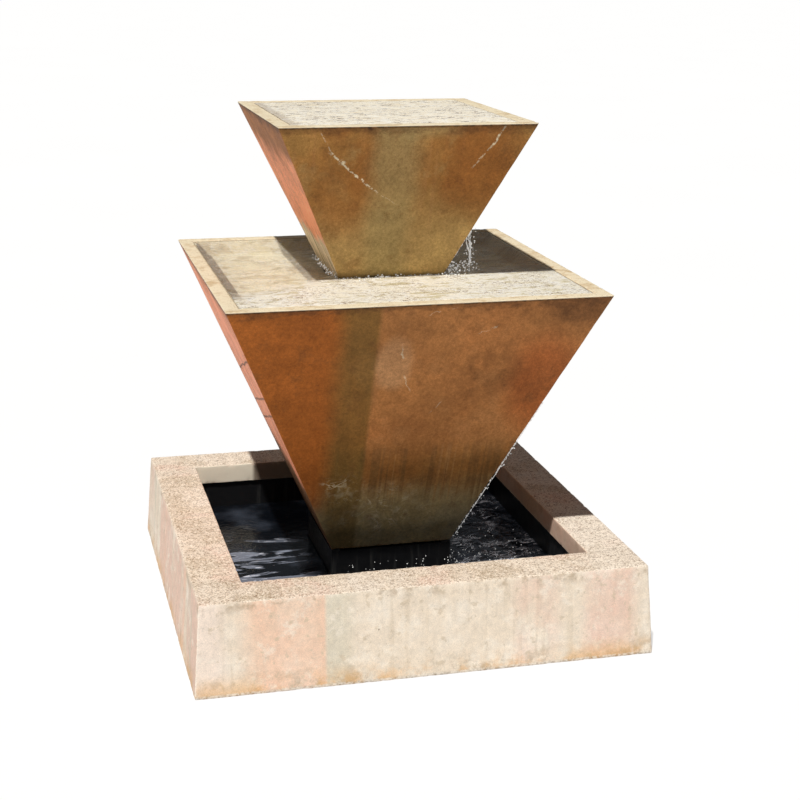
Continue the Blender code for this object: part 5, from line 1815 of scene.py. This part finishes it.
@dataclass
class Pool:
    """One sheet of water: a thin square ring with a rippled top."""

    name: str
    level: float
    outer: float
    inner: float
    ripples: Ripples
    per_side: int
    pitch: float
    thickness: float = 0.004
    inner_round: float = 0.0
    seed: float = 0.0

    def height(self, spot: Vector) -> float:
        """Rise of the water at a point, from broad and fine waves.

        Args:
            spot: The point.

        Returns:
            The rise in metres.
        """
        broad, fine = self.ripples.value
        flat = Vector((spot.x, spot.y, self.seed))
        gust = 0.35 + 0.65 * max(0.0, min(1.0, 0.5 + 1.4 * noise.noise(flat * 5.0)))
        if self.ripples is Ripples.BASIN:
            gust *= 0.35 + 1.1 * max(0.0, min(1.0, (spot.x + 0.15) / 0.35))
        ring = math.sin(flat.xy.length * 190.0 + 4.0 * noise.noise(flat * 9.0))
        wave = noise.noise(flat * 26.0) + 0.25 * ring
        chop = noise.noise(flat * 75.0) + 0.5 * noise.noise(flat * 150.0)
        return gust * (broad * wave + fine * chop)

    def build(self, shop: Workshop, material: bpy.types.Material) -> None:
        """Builds the sheet and its ripples.

        Args:
            shop: Where the pieces are put.
            material: What it is made of.
        """
        low = self.level - self.thickness
        corners = [
            Corner(self.inner, low, 0.0, self.inner_round),
            Corner(self.outer, low),
            Corner(self.outer, self.level),
            Corner(self.inner, self.level, 0.0, self.inner_round),
        ]
        cut = Cut(self.per_side, self.pitch, arris=0.002)
        stations = rounded_stations(corners, True, cut)
        kept = [s for s in stations if s.z > low or s.half in (self.inner, self.outer)]
        mesh = facing_out(skin_mesh(self.name, kept, True, cut))
        reach = 0.03
        for vertex in mesh.vertices:
            if vertex.co.z > self.level - self.thickness / 2:
                edge = self.outer - max(abs(vertex.co.x), abs(vertex.co.y))
                calm = max(0.0, min(1.0, edge / reach))
                rise = self.height(vertex.co) * (0.3 + 0.7 * calm)
                vertex.co.z = min(self.level + rise, self.level + self.thickness * 0.7)
        shop.place(self.name, mesh, material, "")


def spray_tree(material: bpy.types.Material) -> tuple[bpy.types.NodeTree, dict[str, str]]:
    """Builds the Geometry Nodes tree that throws beads of water up from a patch of surface.

    Args:
        material: The beads' material.

    Returns:
        The tree, and its inputs' identifiers by name.
    """
    tree = bpy.data.node_groups.new("water_spray", "GeometryNodeTree")
    tree.interface.new_socket("Geometry", in_out="INPUT", socket_type="NodeSocketGeometry")
    named = {}
    for label in ("Density", "Rise", "Smallest", "Largest", "Spread"):
        made = tree.interface.new_socket(label, in_out="INPUT", socket_type="NodeSocketFloat")
        named[label] = made.identifier
    named["Seed"] = tree.interface.new_socket("Seed", in_out="INPUT", socket_type="NodeSocketInt").identifier
    tree.interface.new_socket("Geometry", in_out="OUTPUT", socket_type="NodeSocketGeometry")
    start, end = tree.nodes.new("NodeGroupInput"), tree.nodes.new("NodeGroupOutput")
    given = start.outputs
    add = Nodes(tree).node

    def random(kind: str, offset: int, limits: dict[int, Any]) -> bpy.types.Node:
        """Adds a random value that is drawn from the seed."""
        seed = add("ShaderNodeMath", {0: given["Seed"], 1: offset}, operation="ADD").outputs[0]
        return add("FunctionNodeRandomValue", {"Seed": seed, **limits}, data_type=kind)

    points = {"Mesh": given["Geometry"], "Density": given["Density"], "Seed": given["Seed"]}
    scatter = add("GeometryNodeDistributePointsOnFaces", points)
    steep = {0: random("FLOAT", 11, {}).outputs[1], 1: 3.0}
    climb = {0: add("ShaderNodeMath", steep, operation="POWER").outputs[0], 1: given["Rise"]}
    up = add("ShaderNodeCombineXYZ", {2: add("ShaderNodeMath", climb, operation="MULTIPLY").outputs[0]})
    drift = random("FLOAT_VECTOR", 23, {0: (-1.0, -1.0, 0.0), 1: (1.0, 1.0, 0.0)})
    aside = {0: drift.outputs[0], "Scale": given["Spread"]}
    wide = add("ShaderNodeVectorMath", aside, operation="SCALE")
    total = add("ShaderNodeVectorMath", {0: wide.outputs[0], 1: up.outputs[0]}).outputs[0]
    move = add("GeometryNodeSetPosition", {"Geometry": scatter.outputs["Points"], "Offset": total})
    bead = add("GeometryNodeMeshIcoSphere", {"Radius": 1.0, "Subdivisions": 2})
    size = random("FLOAT", 37, {2: given["Smallest"], 3: given["Largest"]})
    beads = {"Points": move.outputs[0], "Instance": bead.outputs["Mesh"], "Scale": size.outputs[1]}
    spread = add("GeometryNodeInstanceOnPoints", beads)
    solid = add("GeometryNodeRealizeInstances", {"Geometry": spread.outputs["Instances"]})
    smooth = add("GeometryNodeSetShadeSmooth", {"Geometry": solid.outputs["Geometry"]})
    dress = {"Geometry": smooth.outputs["Geometry"], "Material": material}
    tree.links.new(add("GeometryNodeSetMaterial", dress).outputs["Geometry"], end.inputs["Geometry"])
    return tree, named


@dataclass(frozen=True)
class Spray:
    """A patch of thrown water: the strip that its beads start from, and how they are thrown."""

    strip: Strip
    density: float
    rise: float
    smallest: float
    largest: float
    spread: float = 0.006
    seed: int = 1

    @staticmethod
    def level(low: tuple[float, float], high: tuple[float, float], z: float) -> Strip:
        """Returns a level strip between two corners at a height."""
        return ((low[0], low[1], z), (high[0], low[1], z), (high[0], high[1], z), (low[0], high[1], z))

    @staticmethod
    def hung(top: Point, bottom: Point, width: float) -> Strip:
        """Returns a strip that hangs between two points and is this wide towards +X."""
        return (top, bottom, (bottom[0] + width, *bottom[1:]), (top[0] + width, *top[1:]))

    def mesh(self, tree: bpy.types.NodeTree, named: dict[str, str]) -> bpy.types.Mesh:
        """Runs the tree on the strip and returns the beads as a plain mesh.

        Args:
            tree: The spray tree.
            named: The tree's inputs, by name.

        Returns:
            The beads.
        """
        strip = bpy.data.meshes.new("strip")
        strip.from_pydata(self.strip, [], [(0, 1, 2, 3)])
        guide = linked("strip", strip)
        spray = guide.modifiers.new("spray", "NODES")
        spray.node_group = tree
        wanted = {
            "Density": self.density,
            "Rise": self.rise,
            "Smallest": self.smallest,
            "Largest": self.largest,
            "Spread": self.spread,
            "Seed": self.seed,
        }
        for label, value in wanted.items():
            spray[named[label]] = value
        graph = bpy.context.evaluated_depsgraph_get()
        beads = bpy.data.meshes.new_from_object(guide.evaluated_get(graph))
        guide.modifiers.clear()
        bpy.data.objects.remove(guide)
        return beads


def joined(name: str, meshes: Sequence[bpy.types.Mesh]) -> bpy.types.Mesh:
    """Joins meshes into one, each still closed.

    Args:
        name: The result's name.
        meshes: What is joined.

    Returns:
        The joined mesh.
    """
    points: list[np.ndarray] = []
    faces: list[tuple[int, ...]] = []
    base = 0
    for mesh in meshes:
        co = np.zeros(len(mesh.vertices) * 3)
        mesh.vertices.foreach_get("co", co)
        points.append(co.reshape(-1, 3))
        faces.extend(tuple(v + base for v in polygon.vertices) for polygon in mesh.polygons)
        base += len(mesh.vertices)
    made = bpy.data.meshes.new(name)
    made.from_pydata(np.concatenate(points).tolist(), [], faces)
    made.shade_smooth()
    return made


def strand_mesh(path: Sequence[Vector], radii: Sequence[float], sides: int = 8) -> bpy.types.Mesh:
    """Builds a closed strand of water along a path.

    Args:
        path: Its middle, from top to bottom.
        radii: Its radius at each point.
        sides: Points round it.

    Returns:
        The mesh.
    """
    points: list[Vector] = [path[0]]
    for spot, radius in zip(path, radii, strict=True):
        for k in range(sides):
            angle = 2 * math.pi * k / sides
            points.append(spot + Vector((radius * math.cos(angle), radius * math.sin(angle), 0)))
    points.append(path[-1])
    faces: list[tuple[int, ...]] = []
    rows = len(path)
    for k in range(sides):
        j = (k + 1) % sides
        faces.append((0, 1 + j, 1 + k))
        for row in range(rows - 1):
            a, b = 1 + row * sides, 1 + (row + 1) * sides
            faces.append((a + k, a + j, b + j, b + k))
        last = 1 + (rows - 1) * sides
        faces.append((last + k, last + j, len(points) - 1))
    mesh = bpy.data.meshes.new("strand")
    mesh.from_pydata(points, [], faces)
    return facing_out(mesh)


@dataclass
class FallingWater:
    """Strands that leave the bowls' right-hand faces, and the splashes where water lands."""

    lower: Bowl
    upper: Bowl
    basin_level: float
    pool_level: float

    def clinging(
        self, bowl: Bowl, y_share: float, top: float, bottom: float, off: float, seed: float
    ) -> bpy.types.Mesh:
        """Builds a strand that runs down a bowl's right face, a little off it.

        Args:
            bowl: The bowl.
            y_share: Where on the face, as a share of its half width from the middle to the front.
            top: Height it starts from.
            bottom: Height it ends at.
            off: Distance from the face in metres.
            seed: Moves its meander.

        Returns:
            The strand's mesh.
        """
        steps = max(12, round((top - bottom) / 0.0025))
        path, radii = [], []
        for i in range(steps + 1):
            z = top + (bottom - top) * i / steps
            sway = noise.noise(Vector((seed, z * 14.0, 0.0)))
            swell = noise.noise(Vector((seed, 3.0, z * 150.0)))
            half = bowl.outer(z)
            path.append(Vector((half + off * (1 + 0.6 * sway), -half * y_share + 0.006 * sway, z)))
            radii.append(0.0019 * max(0.16, 0.4 + 1.7 * swell))
        radii[0] = radii[-1] = 0.0003
        return strand_mesh(path, radii)

    def falling(self, x: float, y: float, top: float, bottom: float, seed: float) -> bpy.types.Mesh:
        """Builds a strand that falls free between two heights.

        Args:
            x: Where it falls, along X.
            y: Where it falls, along Y.
            top: Height it starts from.
            bottom: Height it ends at.
            seed: Moves its meander.

        Returns:
            The strand's mesh.
        """
        steps = max(12, round((top - bottom) / 0.003))
        path, radii = [], []
        for i in range(steps + 1):
            z = top + (bottom - top) * i / steps
            sway = noise.noise(Vector((seed, z * 18.0, 0.0)))
            twist = noise.noise(Vector((seed + 4.0, z * 18.0, 0.0)))
            swell = noise.noise(Vector((seed, 3.0, z * 90.0)))
            path.append(Vector((x + 0.014 * sway, y + 0.01 * twist, z)))
            radii.append(0.0034 * max(0.2, 0.5 + 1.5 * swell))
        radii[0] = radii[-1] = 0.0004
        return strand_mesh(path, radii)

    def strands(self) -> bpy.types.Mesh:
        """Returns all the strands as one mesh.

        Returns:
            The mesh.
        """
        upper_foot = self.pool_level
        made = [
            self.falling(0.247, -0.05, 1.12, upper_foot, 1.0),
            self.falling(0.252, -0.035, 1.13, upper_foot, 2.0),
            self.falling(0.239, -0.06, 1.1, upper_foot, 3.0),
            self.clinging(self.upper, 0.93, 1.24, 1.0, 0.003, 6.0),
        ]
        for seed, share, top, bottom, off in (
            (11.0, 0.985, 0.64, 0.42, 0.003),
            (12.0, 0.97, 0.46, 0.3, 0.007),
            (13.0, 0.95, 0.36, 0.21, 0.008),
        ):
            made.append(self.clinging(self.lower, share, top, max(bottom, self.lower.foot_z), off, seed))
        return joined("water_strands", made)

    def sprays(self) -> list[Spray]:
        """Returns the patches that throw water up.

        Returns:
            The patches.
        """
        foot = self.upper.outer(self.pool_level) + 0.002
        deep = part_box("pedestal")[1].x + 0.004
        pool, low = self.pool_level, self.basin_level
        level, hung = Spray.level, Spray.hung
        half_high, half_low = self.lower.outer(0.52), self.lower.outer(0.2)
        drip_top = (half_high + 0.002, -half_high * 0.96, 0.52)
        drip_foot = (half_low + 0.003, -half_low * 0.96, 0.2)
        return [
            Spray(level((-foot, -foot - 0.010), (foot, -foot), pool), 26000, 0.006, 0.0006, 0.0019, seed=3),
            Spray(level((-foot, -foot - 0.035), (-0.02, -foot), pool), 5000, 0.004, 0.0006, 0.0020, seed=13),
            Spray(level((-foot - 0.012, -foot), (-foot, foot), pool), 22000, 0.010, 0.0006, 0.0019, seed=4),
            Spray(
                level((foot, -foot - 0.03), (foot + 0.05, -foot + 0.06), pool),
                15000,
                0.045,
                0.0007,
                0.0026,
                0.012,
                5,
            ),
            Spray(
                level((foot + 0.03, -0.12), (foot + 0.11, -0.03), pool), 12000, 0.024, 0.0007, 0.0025, 0.01, 6
            ),
            Spray(
                hung((0.236, -0.05, 1.1), (0.226, -0.06, pool), 0.03), 13000, 0.004, 0.0008, 0.0024, 0.004, 21
            ),
            Spray(hung(drip_top, drip_foot, 0.012), 15000, 0.003, 0.0007, 0.0022, 0.003, 22),
            Spray(level((-0.13, -deep - 0.012), (0.17, -deep), low), 30000, 0.045, 0.0006, 0.0016, 0.004, 7),
            Spray(level((deep, -0.17), (deep + 0.10, -0.05), low), 3500, 0.03, 0.0006, 0.0018, 0.015, 8),
            Spray(level((-0.14, -0.47), (0.22, -0.40), low), 900, 0.004, 0.0007, 0.0016, 0.01, 9),
            Spray(level((0.2, -0.35), (0.44, 0.1), low), 500, 0.006, 0.0007, 0.0018, 0.02, 10),
        ]

    def build(self, shop: Workshop) -> None:
        """Builds the strands and the beads.

        Args:
            shop: Where the pieces are put.
        """
        material = shop.materials["beads"]
        shop.place("water_strands", self.strands(), material, "")
        tree, named = spray_tree(material)
        beads = [spray.mesh(tree, named) for spray in self.sprays()]
        shop.place("water_beads", joined("water_beads", beads), material, "")


@dataclass
class Works:
    """The pedestal and everything that makes the water run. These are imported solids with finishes."""

    finishes: dict[str, tuple[str, ...]] = field(
        default_factory=lambda: {
            "coating": ("pedestal",),
            "black_plastic": ("access_panel", "pump_motor", "pump_volute", "intake_cover", "flow_shutter"),
            "grey_plastic": (
                "outlet_fitting", "outlet_nut", "diffuser_cap", "flow_dial", "pump_impeller", "hose_adapter",
            ),
            "rubber": (
                "sleeve_seal", "outlet_gasket", "pump_cord_gland", "shaft_bush_rear", "shaft_bush_front",
                "outlet_o_ring", "pump_foot_1", "pump_foot_2", "pump_foot_3", "pump_foot_4",
            ),
            "white_pipe": ("hose_sleeve",),
            "hose": ("riser_hose",),
            "steel": (
                "pump_hose_clamp", "pump_hose_clamp_screw", "outlet_hose_clamp", "outlet_hose_clamp_screw",
                "pump_screw_1", "pump_screw_2", "pump_screw_3", "pump_screw_4",
            ),
            "magnet": ("rotor_magnet",),
            "ceramic": ("pump_shaft",),
        }
    )

    def build(self, shop: Workshop) -> None:
        """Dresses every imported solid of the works.

        Args:
            shop: Where the pieces are put.
        """
        for finish, nodes in self.finishes.items():
            for node in nodes:
                shop.dress(node, shop.materials[finish])


@dataclass
class Studio:
    """Pale floor, soft light and the camera."""

    eye: Point = (-0.9995, -4.1447, 1.8058)
    right: Point = (0.96931, -0.24561, 0.01059)
    down: Point = (-0.05865, -0.27284, -0.96027)
    ahead: Point = (0.23874, 0.93018, -0.27887)
    lens: float = 70.5
    sensor: float = 36.0
    floor_size: float = 400.0
    sun_way: Point = (0.30, 0.42, -1.0)
    sun_strength: float = 3.5
    sun_angle: float = math.radians(1.0)
    sky: Colour = (0.86, 0.93, 1.0, 1.0)
    sky_strength: float = 0.12
    glow: float = 0.62

    def camera(self) -> None:
        """Makes the camera, level of turn and lens included."""
        data = bpy.data.cameras.new("camera")
        data.lens, data.sensor_width = self.lens, self.sensor
        data.clip_start, data.clip_end = 0.1, 1000.0
        camera = linked("camera", data)
        across, up, back = Vector(self.right), -Vector(self.down), -Vector(self.ahead)
        turn = Matrix((across, up, back)).transposed().to_4x4()
        camera.matrix_world = Matrix.Translation(self.eye) @ turn
        bpy.context.scene.camera = camera

    def floor(self) -> None:
        """Makes the pale floor."""
        mesh = bpy.data.meshes.new("studio_floor")
        reach = self.floor_size / 2
        z = -0.0005
        mesh.from_pydata(
            [(-reach, -reach, z), (reach, -reach, z), (reach, reach, z), (-reach, reach, z)],
            [],
            [(0, 1, 2, 3)],
        )
        paint = Paint("studio_floor")
        cloud = paint.noise(paint.place, 0.8, detail=2)
        colour = paint.mix(cloud, (0.34, 0.34, 0.34, 1.0), (0.36, 0.36, 0.36, 1.0))
        glow = {"Emission_Color": WHITE, "Emission_Strength": self.glow}
        mesh.materials.append(paint.finish(colour, 0.9, **glow))
        floor = linked("studio_floor", mesh)

    def lights(self) -> None:
        """Makes the soft key light and the even sky."""
        data = bpy.data.lights.new("key", "SUN")
        data.energy, data.angle, data.color = self.sun_strength, self.sun_angle, (1.0, 0.98, 0.95)
        key = linked("key", data)
        key.rotation_mode = "QUATERNION"
        key.rotation_quaternion = Vector(self.sun_way).to_track_quat("-Z", "Y")
        world = bpy.data.worlds.new("studio")
        world.use_nodes = True
        backdrop = world.node_tree.nodes["Background"]
        backdrop.inputs["Color"].default_value = self.sky
        backdrop.inputs["Strength"].default_value = self.sky_strength
        bpy.context.scene.world = world

    def build(self) -> None:
        """Makes the whole studio."""
        bpy.context.scene.view_settings.view_transform = "Standard"
        self.camera()
        self.floor()
        self.lights()


def finishes(lower: Bowl, upper: Bowl) -> dict[str, bpy.types.Material]:
    """Builds every material, by the name that the pieces ask for.

    Args:
        lower: The lower bowl.
        upper: The upper bowl.

    Returns:
        The materials, by name.
    """
    plain = {
        "rubber": Moulded("seal_rubber", (0.02, 0.02, 0.021, 1.0), (0.035, 0.035, 0.036, 1.0), Gloss.MATT),
        "black_plastic": Moulded("black_plastic", (0.014, 0.014, 0.016, 1.0), (0.024, 0.024, 0.027, 1.0)),
        "grey_plastic": Moulded("grey_plastic", (0.22, 0.23, 0.24, 1.0), (0.28, 0.29, 0.3, 1.0)),
        "white_pipe": Moulded(
            "white_pipe", (0.74, 0.74, 0.7, 1.0), (0.82, 0.82, 0.8, 1.0), Gloss.SATIN, 300.0
        ),
        "hose": Moulded("vinyl_hose", (0.42, 0.47, 0.45, 1.0), (0.55, 0.6, 0.58, 1.0), Gloss.POLISHED, 400.0),
        "magnet": Moulded("ferrite_magnet", (0.06, 0.06, 0.064, 1.0), (0.1, 0.1, 0.105, 1.0), Gloss.MATT),
        "ceramic": Moulded("shaft_ceramic", (0.82, 0.8, 0.76, 1.0), (0.88, 0.87, 0.84, 1.0), Gloss.POLISHED),
        "sealant": Moulded(
            "tray_sealant", tone(196, 180, 150), tone(214, 200, 172), Gloss.SATIN, 500.0, 0.0004
        ),
        "steel": BrushedSteel(),
        "coating": BlackCoating(),
        "cast_stone": CastStone(),
        "lower_stone": LowerBowlStone("lower_bowl_stone", lower.foot_z, lower.top_z),
        "upper_stone": UpperBowlStone("upper_bowl_stone", upper.foot_z, upper.top_z),
        "lower_pool": PoolStone("lower_pool_stone", bank=-0.412),
        "upper_pool": PoolStone("upper_pool_stone"),
        "pool_water": BrokenWater(
            "lower_pool_water",
            calm=0.16,
            churned=0.93,
            churn_from=-0.05,
            churn_to=-0.19,
            fleck_share=1.15,
            shine=0.3,
            lean=0.75,
        ),
        "film_water": BrokenWater(
            "upper_pool_water",
            calm=0.94,
            churned=0.98,
            churn_from=0.1,
            churn_to=-0.2,
            fleck_low=0.54,
            fleck_share=1.25,
            fleck_size=(38.0, 72.0, 1.0),
            bank=-0.283,
            speck_share=0.6,
            shine=0.02,
            pale=tone(254, 244, 222),
            moss=tone(245, 229, 196),
            brown=tone(100, 64, 34),
        ),
        "basin_water": DeepWater(),
        "beads": WaterBeads(),
    }
    return {name: finish.material() for name, finish in plain.items()}


def main() -> None:
    """Builds the finished fountain and its studio."""
    logging.basicConfig(level=logging.INFO, format="%(name)s: %(message)s")
    lower = Bowl(
        "lower", foot_width=0.3414, pool_depth=0.038, slab=0.034, foot_hole=0.0378, tray_hole=0.0438, seed=3.0
    )
    upper = Bowl(
        "upper", foot_width=0.2628, pool_depth=0.032, slab=0.028, foot_hole=0.055, tray_hole=0.0153, seed=8.0
    )
    shop = Workshop(finishes(lower, upper))
    Basin().build(shop)
    lower.build(shop, shop.materials["lower_stone"], shop.materials["lower_pool"])
    upper.build(shop, shop.materials["upper_stone"], shop.materials["upper_pool"])
    Works().build(shop)
    pool_level = lower.top_z - POOL_DROP
    film_level = upper.top_z - FILM_DROP
    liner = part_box("basin_liner")[1].x - 0.003
    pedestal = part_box("pedestal")[1].x
    Pool("basin_pool", BASIN_LEVEL, liner - GAP, pedestal + GAP, Ripples.BASIN, 170, 0.006, seed=1.0).build(
        shop, shop.materials["basin_water"]
    )
    lower_edge = lower.outer(pool_level - 0.004) - lower.rim_width - 0.001
    upper_foot = upper.outer(pool_level) + 0.001
    Pool("lower_pool", pool_level, lower_edge, upper_foot, Ripples.POOL, 180, 0.0055, 0.003, seed=5.0).build(
        shop, shop.materials["pool_water"]
    )
    upper_edge = upper.outer(film_level - 0.003) - upper.rim_width - 0.001
    Pool("upper_pool", film_level, upper_edge, 0.004, Ripples.FILM, 110, 0.006, 0.002, 1.0, 9.0).build(
        shop, shop.materials["film_water"]
    )
    FallingWater(lower, upper, BASIN_LEVEL, pool_level).build(shop)
    Studio().build()


if __name__ == "__main__":
    main()
